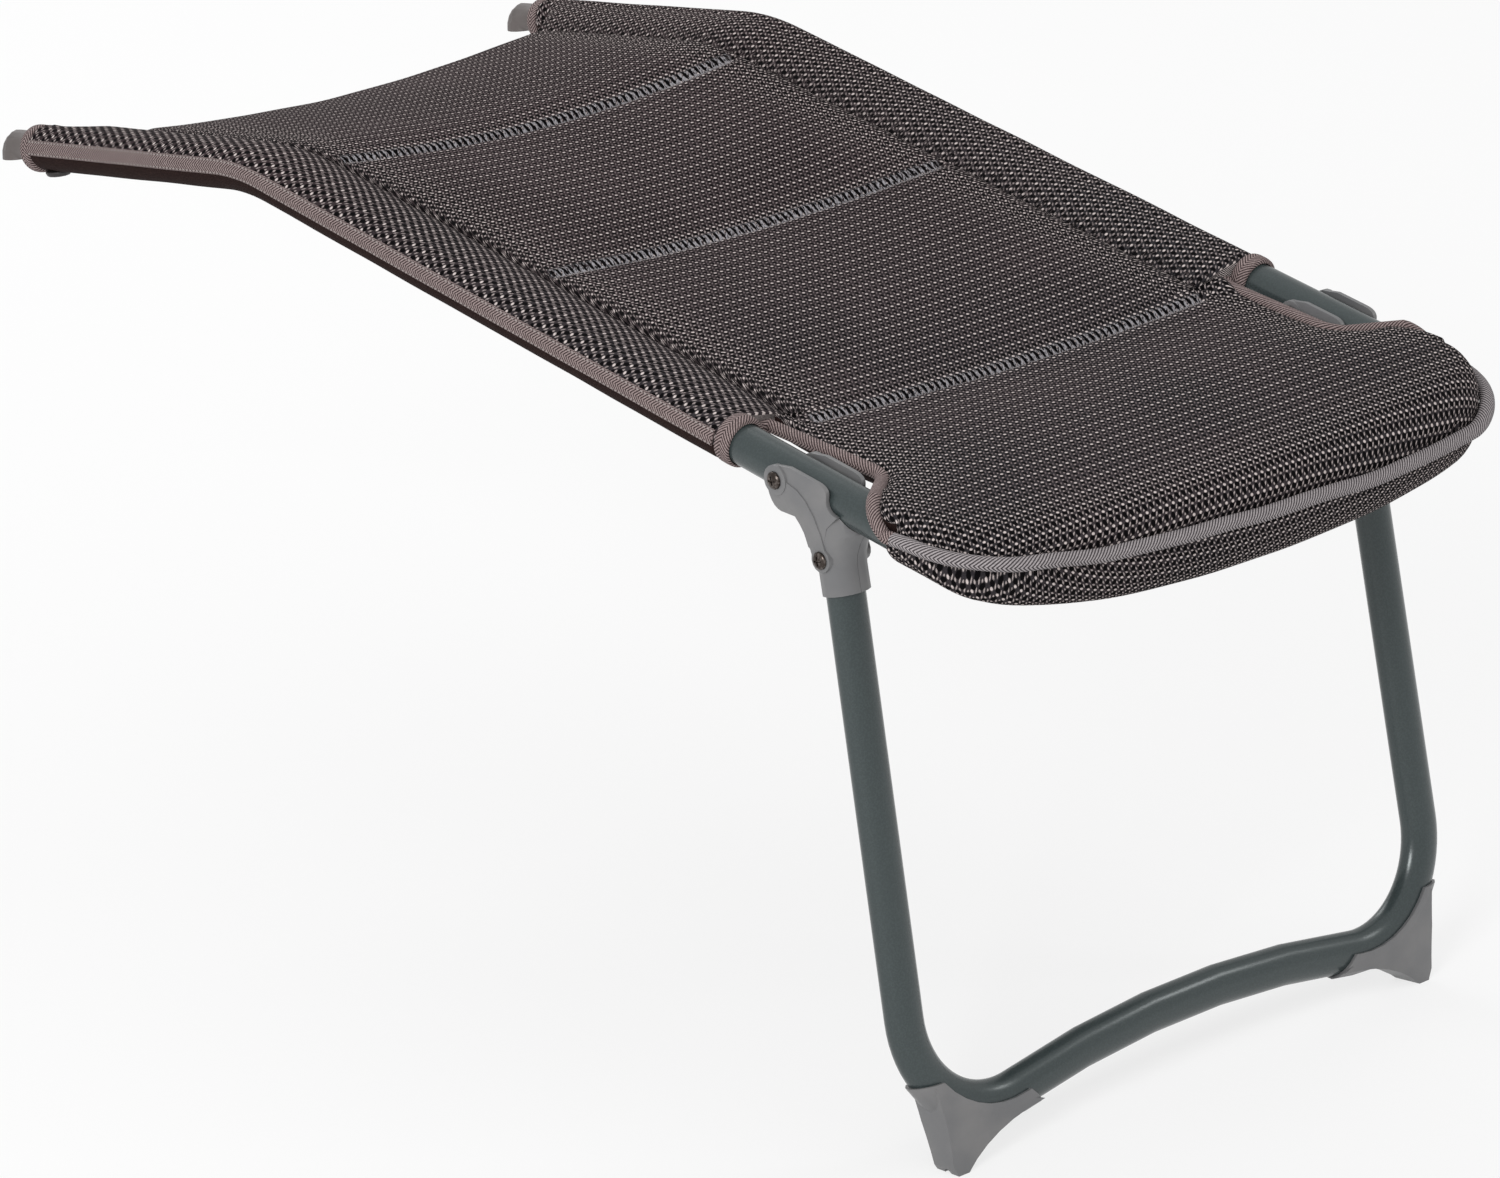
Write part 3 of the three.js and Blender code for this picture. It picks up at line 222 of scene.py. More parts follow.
# Plain finishes: flecks are a noise's scale and detail, and where the second colour begins and ends;
# cloud is a noise that moves the roughness up and down, relief one with its depth and strength
tubePaint = {
    "color": (0.04, 0.052, 0.053), "second": (0.047, 0.061, 0.062),
    "flecks": (900, 2), "range": (0.42, 0.62), "roughness": 0.25, "cloud": (14, 2), "uneven": 0.1,
    "metallic": 0.2, "gloss": 0.5, "grain": (900, 2), "relief": (0.05, 0.5),
}
plasticSurface = {
    "flecks": (30, 4), "range": (0.35, 0.75), "cloud": (30, 4), "uneven": 0.14,
    "metallic": 0.0, "gloss": 0.5, "grain": (1500, 2), "relief": (0.06, 0.6),
}
greyPlastic = {
    "color": (0.135, 0.136, 0.14), "second": (0.175, 0.172, 0.172), "roughness": 0.4, **plasticSurface,
}
clipPlastic = {
    "color": (0.1, 0.086, 0.082), "second": (0.14, 0.122, 0.118), "roughness": 0.5, **plasticSurface,
}
blackPlastic = {
    "color": (0.013, 0.01, 0.01), "second": (0.03, 0.025, 0.025), "roughness": 0.5, **plasticSurface,
}
nickel = {
    "color": (0.05, 0.04, 0.035), "second": (0.2, 0.175, 0.16),
    "flecks": (420, 5), "range": (0.45, 0.75), "roughness": 0.285, "cloud": (420, 5), "uneven": 0.25,
    "metallic": 0.9, "gloss": 0.5, "grain": (420, 5), "relief": (0.04, 0.4),
}
darkCloth = {
    "color": (0.013, 0.006, 0.0055), "second": (0.028, 0.015, 0.013),
    "flecks": (1100, 3), "range": (0.4, 0.7), "roughness": 0.9,
    "metallic": 0.0, "gloss": 0.1, "grain": (1100, 3), "relief": (0.3, 0.6),
}
sewingThread = {
    "color": (0.3, 0.27, 0.26), "second": (0.12, 0.1, 0.1),
    "flecks": (2200, 2), "range": (0.7, 0.3), "roughness": 0.6,
    "metallic": 0.0, "gloss": 0.3, "grain": (2200, 2), "relief": (0.1, 0.5),
}


def makePlain(name, look):
    made = Finish(name, look["color"], look["roughness"], look["metallic"], look["gloss"])
    share = made.grain(*look["flecks"]).fade(*look["range"])
    made.put("Base Color", made.blend(share, look["color"], look["second"]))
    if "cloud" in look:
        made.put("Roughness", (made.grain(*look["cloud"]) - 0.5) * look["uneven"] + look["roughness"])
    made.put("Normal", made.relief(made.grain(*look["grain"]), *look["relief"]))
    return made


# Spacer mesh, in millimetres: every repeat has a raised knot painted pale as a highlight, two holes and
# slanted yarns, each with its centre, radii and tilt; the seams' threads, and slots painted dark as the
# shade of their groove, lie before and behind the sewn line
spacerMesh = {
    "repeat": (5.2, 10.4),
    "lean": 0.077,
    "knot": ((0, 0), (1.25, 0.95), 18),
    "holes": (((-1.6, -2.1), (1.4, 1.15), 10), ((0.9, -6.8), (1.2, 1.75), -14)),
    "yarns": (((0.6, -2.5), (1.7, 0.5), 48), ((3.0, -6.6), (1.7, 0.5), 45)),
    "loops": (((2.05, -4.0), (1.15, 0.65), 25), ((-0.8, -8.1), (1.2, 0.55), 45)),
    "widening": 0.3,
    "ground": (0.036, 0.026, 0.028),
    # painted sheen: a cooler, more neutral tint for the mesh towards the front
    "sheenTintInFront": (0.031, 0.029, 0.032),
    "palePatch": (0.0648, 0.0468, 0.0504),
    "yarn": (0.16, 0.13, 0.132),
    "loop": (0.3, 0.25, 0.245),
    "openYarn": (0.46, 0.4, 0.385),
    # painted highlight on the knots, and a dimmer copy of it
    "bright": (0.62, 0.545, 0.525),
    "dimKnotHighlight": (0.372, 0.327, 0.315),
    "dark": (0.003, 0.0025, 0.003),
    # dark slots behind a seam: painted shade on the groove's rear wall
    "slot": (1.25, 2.7),
    "slotPlace": 3.2,
    "slotLean": 0.5,
    "seamThread": (0.36, 0.35, 0.37),
    "depth": 0.7,
}


def offCentre(u, v, shape):
    # 0 in the middle of a tilted oval and 1 at its rim, in every repeat of the mesh
    centre, radii, tilt = shape
    turn = math.radians(tilt)
    across, along = [(((axis - middle) / pitch + 0.5).fraction() - 0.5) * pitch
                     for axis, middle, pitch in zip((u, v), centre, spacerMesh["repeat"])]
    first = (across * math.cos(turn) + along * math.sin(turn)) / radii[0]
    second = (along * math.cos(turn) - across * math.sin(turn)) / radii[1]
    return first ** 2 + second ** 2


def strongest(signals):
    most = signals[0]
    for signal in signals[1:]:
        most = most.maths("MAXIMUM", most, signal)
    return most


def makeSpacerMesh():
    look = spacerMesh
    made = Finish("spacerMesh", look["ground"], 0.85, 0, 0.04)
    u, v = made.weaveAxes()
    shifted = u + v * look["lean"]
    stretched = made.painted("open")
    widened = stretched * look["widening"] + 1
    knot = offCentre(shifted, v, look["knot"]).fade(1.3, 0.3)
    yarn, loops = [strongest([offCentre(shifted, v, shape).fade(1.4, 0.3) for shape in look[name]])
                   for name in ("yarns", "loops")]
    hole = strongest([(offCentre(shifted, v, shape) / (widened ** 2)).fade(1.3, 0.6)
                      for shape in look["holes"]])
    ply = made.grain(1300, 2)
    cloud = made.grain(9, 3)
    # towards the front the mesh is painted a more neutral tint that stands in for the light's sheen
    color = made.blend(v.fade(500, 50), look["ground"], look["sheenTintInFront"])
    color = made.blend(ply.fade(0.7, 0.3) * 0.5, color, look["dark"])
    color = made.blend(cloud.fade(0.35, 0.7) * 0.3, color, look["palePatch"])
    for shown, part in ((yarn, "yarn"), (loops, "loop")):
        strand = made.blend(stretched, look[part], look["openYarn"])
        color = made.blend(shown, color, made.blend(ply.fade(0.65, 0.25) * 0.6, strand, look["ground"]))
    color = made.blend(hole, color, look["dark"])
    # the knots' pale colour is a painted highlight, varied at random between a dimmer and a brighter
    # copy
    color = made.blend(knot, color, made.blend(ply.fade(0.2, 0.6), look["dimKnotHighlight"], look["bright"]))
    # the seam: pale thread in front of a row of dark slots, painted shade on the groove's rear wall
    behind = made.painted("behind")
    sewn = made.painted("sewn")
    streaks = made.strands(shifted, v, (1.1, 3.0))
    band = behind.fade(-5, -1.5) * behind.fade(7, 3) * sewn
    leaning = shifted + behind * look["slotLean"] + streaks * 2
    slotAcross = ((leaning / look["repeat"][0]).fraction() - 0.5) * look["repeat"][0]
    slot = (slotAcross / look["slot"][0]) ** 2 + ((behind - look["slotPlace"]) / look["slot"][1]) ** 2
    slot = slot.fade(1.3, 0.6) * sewn
    color = made.blend(band * streaks.fade(0.42, 0.56), color, look["seamThread"])
    # the slots are painted shade, and are also pressed in as a dent in the relief
    color = made.blend(slot, color, look["dark"])
    # gathers where a sleeve joins the panel: painted shade in the hollows of the folds and a painted
    # lighter tone on their crests, over the folds' relief
    pucker = made.painted("pucker")
    folds = made.strands(u, v, (5.0, 1.8))
    color = made.blend(pucker * folds.fade(0.52, 0.4) * 0.8, color, look["dark"])
    color = made.blend(pucker * folds.fade(0.55, 0.68) * 0.6, color, look["yarn"])
    made.put("Base Color", color)
    height = knot * 0.7 + (yarn + loops) * 0.5 - hole - slot + ply * 0.3
    height = height + band * streaks + pucker * folds * 2
    made.put("Normal", made.relief(height, look["depth"], 0.8))
    made.put("Roughness", 0.86 - knot * 0.2)
    return made


# Herringbone binding: u runs along the tape, v across it, from 0 in the middle
twill = {
    "pitch": 2.3,
    "slant": 1.0,
    "stitch": (3.4, 3.9),  # stitch pitch, and its distance from the middle
    "thread": (0.3, 0.26, 0.25),
}
# groove is the painted shade in the twill's valleys and the stitch furrows
brownTape = {"color": (0.23, 0.172, 0.168), "groove": (0.02, 0.012, 0.012), "pale": (0.42, 0.34, 0.33)}
greyTape = {"color": (0.29, 0.265, 0.27), "groove": (0.035, 0.03, 0.033), "pale": (0.47, 0.43, 0.435)}


def makeTwill(name, look, sewn):
    made = Finish(name, look["color"], 0.8, 0, 0.2)
    u, v = made.weaveAxes()
    rib = ((u + v.size() * twill["slant"]) / twill["pitch"]).wave() * 0.5 + 0.5
    ply = made.grain(1300, 2)
    # the twill's valleys are painted dark as their shade, along the same ribs as the relief
    color = made.blend(rib.fade(0.15, 0.85), look["groove"], look["color"])
    color = made.blend(ply.fade(0.35, 0.8) * rib, color, look["pale"])
    height = rib + ply * 0.4
    if sewn:
        beside = (v.size() - twill["stitch"][1]).size().fade(0.6, 0.3)
        dash = ((u / twill["stitch"][0]).fraction() - 0.5).size().fade(0.34, 0.26) * beside
        # the furrow beside the stitches is painted darker as its shade, and sunk in the relief
        color = made.blend(beside * 0.6, color, look["groove"])
        color = made.blend(dash, color, twill["thread"])
        height = height - beside * 0.8 + dash
    made.put("Base Color", color)
    made.put("Normal", made.relief(height, 0.22, 0.7))
    return made


paint = makePlain("tubePaint", tubePaint)
plastic = makePlain("greyPlastic", greyPlastic)
brownish = makePlain("clipPlastic", clipPlastic)
dark = makePlain("blackPlastic", blackPlastic)
steel = makePlain("darkNickel", nickel)
mesh = makeSpacerMesh()
lining = makePlain("darkCloth", darkCloth)
tape = makeTwill("brownTape", brownTape, False)
sewnTape = makeTwill("sewnTape", brownTape, True)
lipTape = makeTwill("greyTape", greyTape, False)
thread = makePlain("sewingThread", sewingThread)
print("finishes made")


# Finished pieces
def linked(name, data):
    made = bpy.data.objects.new(name, data)
    bpy.context.scene.collection.objects.link(made)
    return made


def finishPiece(bm, name, body, finishes, replaced=(), sharp=40):
    bmesh.ops.remove_doubles(bm, verts=bm.verts, dist=0.001)
    bmesh.ops.recalc_face_normals(bm, faces=bm.faces)
    bmesh.ops.scale(bm, vec=(mm, mm, mm), verts=bm.verts)
    data = bpy.data.meshes.new(name)
    bm.to_mesh(data)
    bm.free()
    data.polygons.foreach_set("use_smooth", [True] * len(data.polygons))
    data.set_sharp_from_angle(angle=math.radians(sharp))
    piece = linked(name, data)
    for finish in finishes:
        data.materials.append(finish.material)
    if replaced:
        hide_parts(*replaced)
    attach(piece, body)
    return piece


# how wide the mesh is open, distance behind a seam, how near it is, gathers beside the sleeves,
# and where the cloth is held fast
marks = {"open": 1.0, "behind": -20.0, "sewn": 0.0, "pucker": 0.0, "held": 0.0}


def newFabric():
    bm = bmesh.new()
    bm.loops.layers.uv.new("weave")
    for mark in marks:
        bm.verts.layers.float.new(mark)
    return bm


def layGrid(bm, points, weave, finish=0, marked=None):
    # a flat grid, moved to the rows of points and carrying their weave and marks;
    # its finish is an index or a function of the column
    rows, columns = len(points) - 1, len(points[0]) - 1
    made = bmesh.ops.create_grid(bm, x_segments=columns, y_segments=rows, size=1)["verts"]
    uv = bm.loops.layers.uv["weave"]
    spot = {vert: (round((vert.co.y + 1) / 2 * rows), round((vert.co.x + 1) / 2 * columns))
            for vert in made}
    for face in {face for vert in made for face in vert.link_faces}:
        first = min(spot[vert][1] for vert in face.verts)
        face.material_index = finish(first) if callable(finish) else finish
        for loop in face.loops:
            row, column = spot[loop.vert]
            loop[uv].uv = Vector(weave[row][column]) * mm
    for vert, (row, column) in spot.items():
        vert.co = points[row][column]
        for mark, usual in marks.items():
            vert[bm.verts.layers.float[mark]] = marked[row][column][mark] if marked else usual


def unrolled(points):
    # distance along the rows of points, and round each row
    lengths = [0.0]
    middle = len(points[0]) // 2
    for row in range(1, len(points)):
        lengths.append(lengths[-1] + (points[row][middle] - points[row - 1][middle]).length)
    weave = []
    for row, length in zip(points, lengths):
        around = [0.0]
        for column in range(1, len(row)):
            around.append(around[-1] + (row[column] - row[column - 1]).length)
        weave.append([(length, share - around[-1] / 2) for share in around])
    return weave


def capRims(bm):
    bmesh.ops.remove_doubles(bm, verts=bm.verts, dist=0.001)
    rims = [edge for edge in bm.edges if edge.is_boundary]
    if rims:
        bmesh.ops.holes_fill(bm, edges=rims, sides=0)


def mirrorBmesh(bm):
    bmesh.ops.scale(bm, vec=(-1, 1, 1), verts=bm.verts)
    bmesh.ops.reverse_faces(bm, faces=bm.faces)


def bind(bm, name, node, finish, flipped=False):
    if flipped:
        mirrorBmesh(bm)
    finishPiece(bm, name, "frame", [finish], [node], 60)


def sidesOf(name):
    return [(f"{name}_right", False), (f"{name}_left", True)]


# Tubes, bent by extruding and spinning one ring
def tubeRing(bm, centre, heading, sideways, halfWidth, halfDepth):
    axes = (sideways * halfWidth, heading.cross(sideways) * halfDepth, heading)
    place = Matrix(axes).transposed().to_4x4()
    place.translation = centre
    made = bmesh.ops.create_circle(bm, segments=rail["sides"], radius=1, matrix=place)["verts"]
    return list({edge for vert in made for edge in vert.link_edges})


def bentTube(bm, centre, heading, halfSizes, moves):
    edges = tubeRing(bm, centre, heading, moves[1][0].cross(heading).normalized(), *halfSizes)
    for axis, amount, radius in moves:
        if axis is None:
            grown = bmesh.ops.extrude_edge_only(bm, edges=edges)["geom"]
            verts = [item for item in grown if isinstance(item, bmesh.types.BMVert)]
            edges = [item for item in grown if isinstance(item, bmesh.types.BMEdge)
                     and item.verts[0] in verts and item.verts[1] in verts]
            bmesh.ops.translate(bm, verts=verts, vec=heading * amount)
            centre = centre + heading * amount
            continue
        pivot = centre + axis.cross(heading) * radius
        ends = list({vert for edge in edges for vert in edge.verts})
        steps = max(4, math.ceil(math.degrees(amount) / 5))
        turned = bmesh.ops.spin(bm, geom=ends + edges, cent=pivot, axis=axis, angle=amount, steps=steps)
        edges = [item for item in turned["geom_last"] if isinstance(item, bmesh.types.BMEdge)]
        turn = Matrix.Rotation(amount, 3, axis)
        centre = pivot + turn @ (centre - pivot)
        heading = turn @ heading
    capRims(bm)


def makeFrameTube():
    bm = bmesh.new()
    tail = rail["rearLength"] - bendTangent
    sideRun = bendStart + rail["frontReach"] - rail["frontCorner"]
    start = onRail(-rail["half"], railEnd, 0)
    heading = (onRail(-rail["half"], railEnd - 1, 0) - start).normalized()
    corner = (offRail, math.pi / 2, rail["frontCorner"])
    bentTube(bm, start, heading, (rail["radius"], rail["radius"]), [
        (None, tail, 0),
        (crosswise, rearTurn, rail["rearBend"]),
        (None, sideRun, 0),
        corner,
        (None, 2 * (rail["half"] - rail["frontCorner"]), 0),
        corner,
        (None, sideRun, 0),
        (-crosswise, rearTurn, rail["rearBend"]),
        (None, tail, 0),
    ])
    finishPiece(bm, "bentFrameTube", "frame", [paint], ["frame_tube"], 60)


makeFrameTube()

leg = {
    "lean": 12.65,
    "setback": 28.1,
    "halfWidth": 12.8,
    "halfDepth": 9.7,
    "widest": 220.7,
    "splay": 1.1,
    "corner": 65,
    "arch": 10.4,  # half the arc of the cross bar
    "archLift": 45.9,
    "topLevel": -31.9,
}

lean = math.radians(leg["lean"])
legPlace = Matrix.Translation(hinge) @ Matrix.Rotation(-lean, 4, "X")
legFloor = -(hinge.z + leg["setback"] * math.sin(lean)) / math.cos(lean)
archTop = legFloor + leg["archLift"]
archHalf = math.radians(leg["arch"])
splay = math.radians(leg["splay"])
cornerX = leg["widest"] - leg["corner"]
archRadius = cornerX / math.sin(archHalf) - leg["corner"]
cornerLevel = archTop - archRadius + (archRadius + leg["corner"]) * math.cos(archHalf)


def makeLegTube():
    bm = bmesh.new()
    cornerTop = cornerLevel + leg["corner"] * math.sin(splay)
    run = (leg["topLevel"] - cornerTop) / math.cos(splay)
    topX = cornerX + leg["corner"] * math.cos(splay) - run * math.sin(splay)
    start = Vector((-topX, -leg["setback"], leg["topLevel"]))
    heading = Vector((-math.sin(splay), 0, -math.cos(splay)))
    backwards = Vector((0, 1, 0))
    corner = (-backwards, math.pi / 2 + splay + archHalf, leg["corner"])
    bentTube(bm, start, heading, (leg["halfWidth"], leg["halfDepth"]), [
        (None, run, 0),
        corner,
        (backwards, 2 * archHalf, archRadius),
        corner,
        (None, run, 0),
    ])
    bm.transform(legPlace)
    finishPiece(bm, "bentLegTube", "leg", [paint], ["leg_tube"], 60)


makeLegTube()
print("tubes bent")

# Cover: heights are square to the rail, from its centre line
cover = {
    "panelHalf": 169.7,
    "panelTop": 5,
    "panelBottom": -8,
    "crown": 6,
    "crownBelow": 3,
    "seams": ((165, 7.2), (397, 9.3), (594, 14.4), (798, 12.5)),  # place and sag
    "rise": 19.6,
    "pocketFront": 51,
    "pocketHalf": 230,
    "bow": 1100,
    "corner": 60,
    "roll": 26,
    "tail": (10, 150),
    "mouthStart": 43,  # corners of the open side, and how far their curves reach
    "mouthEnd": 80,
    "mouthHalf": 183.5,
    "mouthCurves": (13, 11),
    "notchHalf": 186.5,
    "notchEnd": 174,
    "notchRoll": 15,
    "rimRoll": 11,
    "bindingRadius": 2.6,
    "bindingRise": (2.5, 9),  # beside the sleeve's ring, and where the pocket begins
    "lipHeights": (
        (-900, 7), (-230, 7), (-190, 5.5), (-125, 0), (-60, -1), (25, -3.5), (110, -8), (185, -7),
        (230, 0), (900, 0),
    ),
    "groove": 2.5,  # height of the seam between the panel and the sleeves
    "stitchHalf": 163,
    "stitchDepth": 3,
    "stitchSlopes": (8, 4.5),  # length of the groove's sides before and behind a seam
    "hemRise": -1.5,
    "rimThick": 0.8,
    "lipFade": (10, 55),  # along the rail, where the lip's own height runs out
    "joinsSleeve": (24, 3),  # before the notch's end, where the panel runs up to the sleeve
    "lumps": 0.7,
    "lumpLengths": (46, 52),
}
clearance = 0.3  # between a binding and the cloth inside it

bowCentre = cover["bow"] - cover["pocketFront"]
cornerCentreX = cover["pocketHalf"] - cover["corner"]
cornerCentre = bowCentre - math.sqrt((cover["bow"] - cover["corner"]) ** 2 - cornerCentreX ** 2)
cornerMeetX = cornerCentreX * cover["bow"] / (cover["bow"] - cover["corner"])
hem = cover["seams"][-1][0]
bindingOffset = cover["bindingRadius"] + clearance
bindingTop = rail["radius"] + 0.6 + bindingOffset
bindingReach = cover["pocketHalf"] + bindingOffset - rail["half"]

sleeve = {
    "start": 178,
    "rearInset": 8,
    "top": 14,
    "outer": 15,
    "low": 14.6,
    "outward": (120, 175),  # angles between which the radius changes, outside and below
    "downward": (195, 245),
    "reach": 44.7,
    "taper": 24,
    "meets": (68, 292),  # angles where the cloth leaves the round of the rail
    "steps": (14, 44, 14),  # from the seam up to the round, round it, and back below
    "spacing": 5,
    "darkFrom": 187,  # the lining begins under the side tape
    "stretch": 0.88,
    "open": 0.55,
    "swell": 0.03,
    "shrink": (0.12, 4),  # at both ends, and over what length
    "puckerColumns": (1, 6),
}
sleeveEnd = railEnd - sleeve["rearInset"]


def sleeveRadius(angle):
    top = mix(sleeve["top"], sleeve["outer"], smooth(angle, *sleeve["outward"]))
    return mix(top, sleeve["low"], smooth(angle, *sleeve["downward"]))


def sleeveClosing(along):
    return smooth(along, hem + sleeve["taper"], sleeveEnd)


def roundRail(angle, along):
    radius = mix(sleeveRadius(angle), sleeve["low"], sleeveClosing(along))
    return Vector((radius * math.cos(math.radians(angle)), radius * math.sin(math.radians(angle))))


def sleeveCrest(along, shares):
    # from the seam with the panel up to the round of the rail; x is measured from the rail inwards
    fade = clamp((along - hem) / sleeve["taper"])
    reach = mix(sleeve["reach"], sleeve["top"] + 0.5, fade)
    landing = roundRail(sleeve["meets"][0], along)
    above = Vector((reach, mix(cover["groove"], 2, fade)))
    bow = Vector((mix(reach, landing.x, 0.25), mix(9.5, landing.y - 2, fade)))
    crest = Vector((mix(reach, landing.x, 0.75), landing.y + 1))
    places = []
    for share in shares:
        start, end = above.lerp(bow, share), bow.lerp(crest, share)
        last = crest.lerp(landing, share)
        places.append(start.lerp(end, share).lerp(end.lerp(last, share), share))
    return places


def curveAt(before, corner, after, reach):
    # leaves one straight edge and joins the next, this far from their corner
    start = corner + (before - corner).normalized() * reach
    end = corner + (after - corner).normalized() * reach
    return [start.lerp(corner, share).lerp(corner.lerp(end, share), share) for share in evenly(12)]


def sideLine():
    # the cover's open side from its front corner to the sleeve
    front = Vector((cover["pocketHalf"], cornerCentre))
    mouth = Vector((cover["pocketHalf"], cover["mouthStart"]))
    inner = Vector((cover["mouthHalf"], cover["mouthEnd"]))
    rear = Vector((cover["notchHalf"], cover["notchEnd"]))
    curves = cover["mouthCurves"]
    line = [front, *curveAt(front, mouth, inner, curves[0]), *curveAt(mouth, inner, rear, curves[1])]
    return line + [line[-1].lerp(rear, share) for share in evenly(12)[1:]]


sidePlaces = sideLine()
sideWidths = [(place.y, place.x) for place in sidePlaces]


def padWidth(along):
    if along <= cornerCentre:
        return cover["pocketHalf"]
    beyond = cover["notchHalf"] if along < cover["notchEnd"] else cover["panelHalf"]
    return lookUp(sideWidths, along, beyond)


def frontEdge(x):
    across = abs(x)
    if across < cornerMeetX:
        return bowCentre - math.sqrt(cover["bow"] ** 2 - across ** 2)
    offset = min(across - cornerCentreX, cover["corner"])
    return cornerCentre - math.sqrt(cover["corner"] ** 2 - offset ** 2)


def seamSpan(along):
    ends = [(-rail["frontReach"], 0), *cover["seams"]]
    for before, behind in zip(ends, ends[1:]):
        if along <= behind[0]:
            return before, behind
    return ends[-2:]


def sagAt(along):
    before, behind = seamSpan(along)
    return mix(before[1], behind[1], clamp((along - before[0]) / (behind[0] - before[0])))


def swellAt(along):
    before, behind = seamSpan(along)
    start = before[0] if before[1] else cover["tail"][0]
    return math.sqrt(math.sin(math.pi * clamp((along - start) / (behind[0] - start))))


def pocketShare(along):
    return 1 - smooth(along, *cover["tail"])


def bindingHeight(x, along):
    # over the rail at the mouth, then low beside it
    low, high = cover["bindingRise"]
    share = clamp((along - cover["mouthEnd"]) / (cover["notchEnd"] - cover["mouthEnd"]))
    beside = mix(high, low, share)
    out = (x - rail["half"]) / (bindingTop if x <= rail["half"] else bindingReach)
    over = math.sqrt(max(1 - out ** 2, 0)) * bindingTop
    return max(over, beside) if x <= rail["half"] else over


def lipHeight(x, along):
    # the lip stands a little high at its left corner and hangs lower towards the right
    lifted = lookUp(cover["lipHeights"], x, ease=True)
    return lifted * (1 - smooth(along, *cover["lipFade"]))


def nearSide(x, along):
    # distance to the cover's side edge, and the height of its binding there
    place = Vector((abs(x), along))
    best, height = 1000.0, 0.0
    for before, behind in zip(sidePlaces, sidePlaces[1:]):
        run = behind - before
        share = clamp((place - before).dot(run) / run.length_squared)
        spot = before + run * share
        away = (place - spot).length
        if away < best:
            best = away
            height = bindingHeight(spot.x, spot.y) + lipHeight(math.copysign(spot.x, x), along)
    return best, height


def sideEdge(x, along):
    if along <= cornerCentre or (abs(x) < cover["notchHalf"] - 60 and along < cover["notchEnd"]):
        return 1000, 0
    if along <= cover["notchEnd"]:
        return nearSide(x, along)
    return padWidth(along) - abs(x), cover["groove"]


def besideSleeve(x):
    # height of the sleeve's end where the panel runs up to it
    crest = sleeveCrest(sleeve["start"], evenly(30))
    tops = [(rail["half"] - spot.x, spot.y) for spot in crest]
    return lookUp(tops, x, tops[0][1])


def stitchGroove(x, along):
    ended = smooth(abs(x), cover["stitchHalf"], cover["stitchHalf"] + 4)
    depth = 0.0
    for seam in cover["seams"][:-1]:
        away = along - seam[0]
        length = cover["stitchSlopes"][1 if away > 0 else 0]
        depth = max(depth, cover["stitchDepth"] * (1 - smooth(abs(away), 0.4, length)))
    return depth * (1 - ended)


def padHeights(x, along):
    across = abs(x)
    outward = across / padWidth(along)
    belly = 1 - outward ** 2
    swell = swellAt(along) * (1 - outward ** 4)
    pocket = pocketShare(along)
    within, edge = sideEdge(x, along)
    rim = roundedRise(within, cover["notchRoll"])
    beside = mix(1, rim, smooth(along, cover["mouthEnd"], (cover["mouthEnd"] + cover["notchEnd"]) / 2))
    top = cover["panelTop"] - sagAt(along) * belly + cover["crown"] * swell
    top = mix(top, cover["rise"], pocket * beside)
    front = roundedRise(along - frontEdge(x), cover["roll"])
    side = 1
    if across > rail["half"] and along <= cornerCentre:
        side = roundedRise(cover["pocketHalf"] - across, cover["pocketHalf"] - rail["half"])
    lifted = lipHeight(x, along)
    lowest = lifted + clearance
    top = mix(lowest, top, front * side) - stitchGroove(x, along)
    bottom = cover["panelBottom"] - sagAt(along) * belly - cover["crownBelow"] * swell
    bottom = mix(bottom, lifted - cover["bindingRadius"], 1 if across > cover["notchHalf"] else pocket)
    closing = roundedRise(within, cover["rimRoll"])
    ending = cover["notchEnd"]
    joined = smooth(along, *(ending - before for before in cover["joinsSleeve"]))
    if joined and along < ending and across > cover["panelHalf"]:
        edge = mix(edge, besideSleeve(across) - 1, joined)
        top = mix(top, besideSleeve(across), joined)
    hemmed = roundedRise(hem - along, cover["rimRoll"])
    low, thick = cover["hemRise"] - sagAt(along) * belly, cover["rimThick"]
    top, bottom = mix(edge, top, closing), mix(edge - thick, bottom, closing)
    return mix(low, top, hemmed), mix(low - thick, bottom, hemmed)


def lump(x, along, layer):
    across, lengthwise = cover["lumpLengths"]
    return noise.noise(Vector((x / across, along / lengthwise, layer)))


padRows = {
    "pocket": 20,
    "pocketPower": 1.7,  # how strongly the rows crowd at the front edge
    "mouth": 26,
    "notch": 10,
    "spacing": 6,
    "crowding": 0.3,
    "columns": 84,
    "columnCrowding": 0.72,
}
seamRows = (-10, -7, -5, -3.5, -2.2, -1, 0, 1, 2, 3, 4.2, 6, 9)


def inside(start, end, count):
    # places between two others, evenly spaced
    return [mix(start, end, step / count) for step in range(1, count)]


def padStations():
    # rows behind the pocket's front, crowding at the mouth and at the seams
    turned = cover["mouthEnd"] + cover["mouthCurves"][1]
    places = [seam[0] for seam in cover["seams"]]
    stations = [*inside(cornerCentre, turned, padRows["mouth"]), turned]
    stations += inside(turned, places[0] + seamRows[0], padRows["notch"])
    for place, following in zip(places, places[1:]):
        stations += [place + row for row in seamRows]
        start, end = place + seamRows[-1], following + (seamRows[0] if following != hem else 0)
        count = round((end - start) / padRows["spacing"])
        stations += [mix(start, end, share) for share in crowded(count, padRows["crowding"])[1:-1]]
    stations = [row for row in stations if abs(row - cover["notchEnd"]) > 0.2]
    return sorted(stations + [cover["notchEnd"] - 0.3, cover["notchEnd"] + 0.3, hem - 1.5, hem])


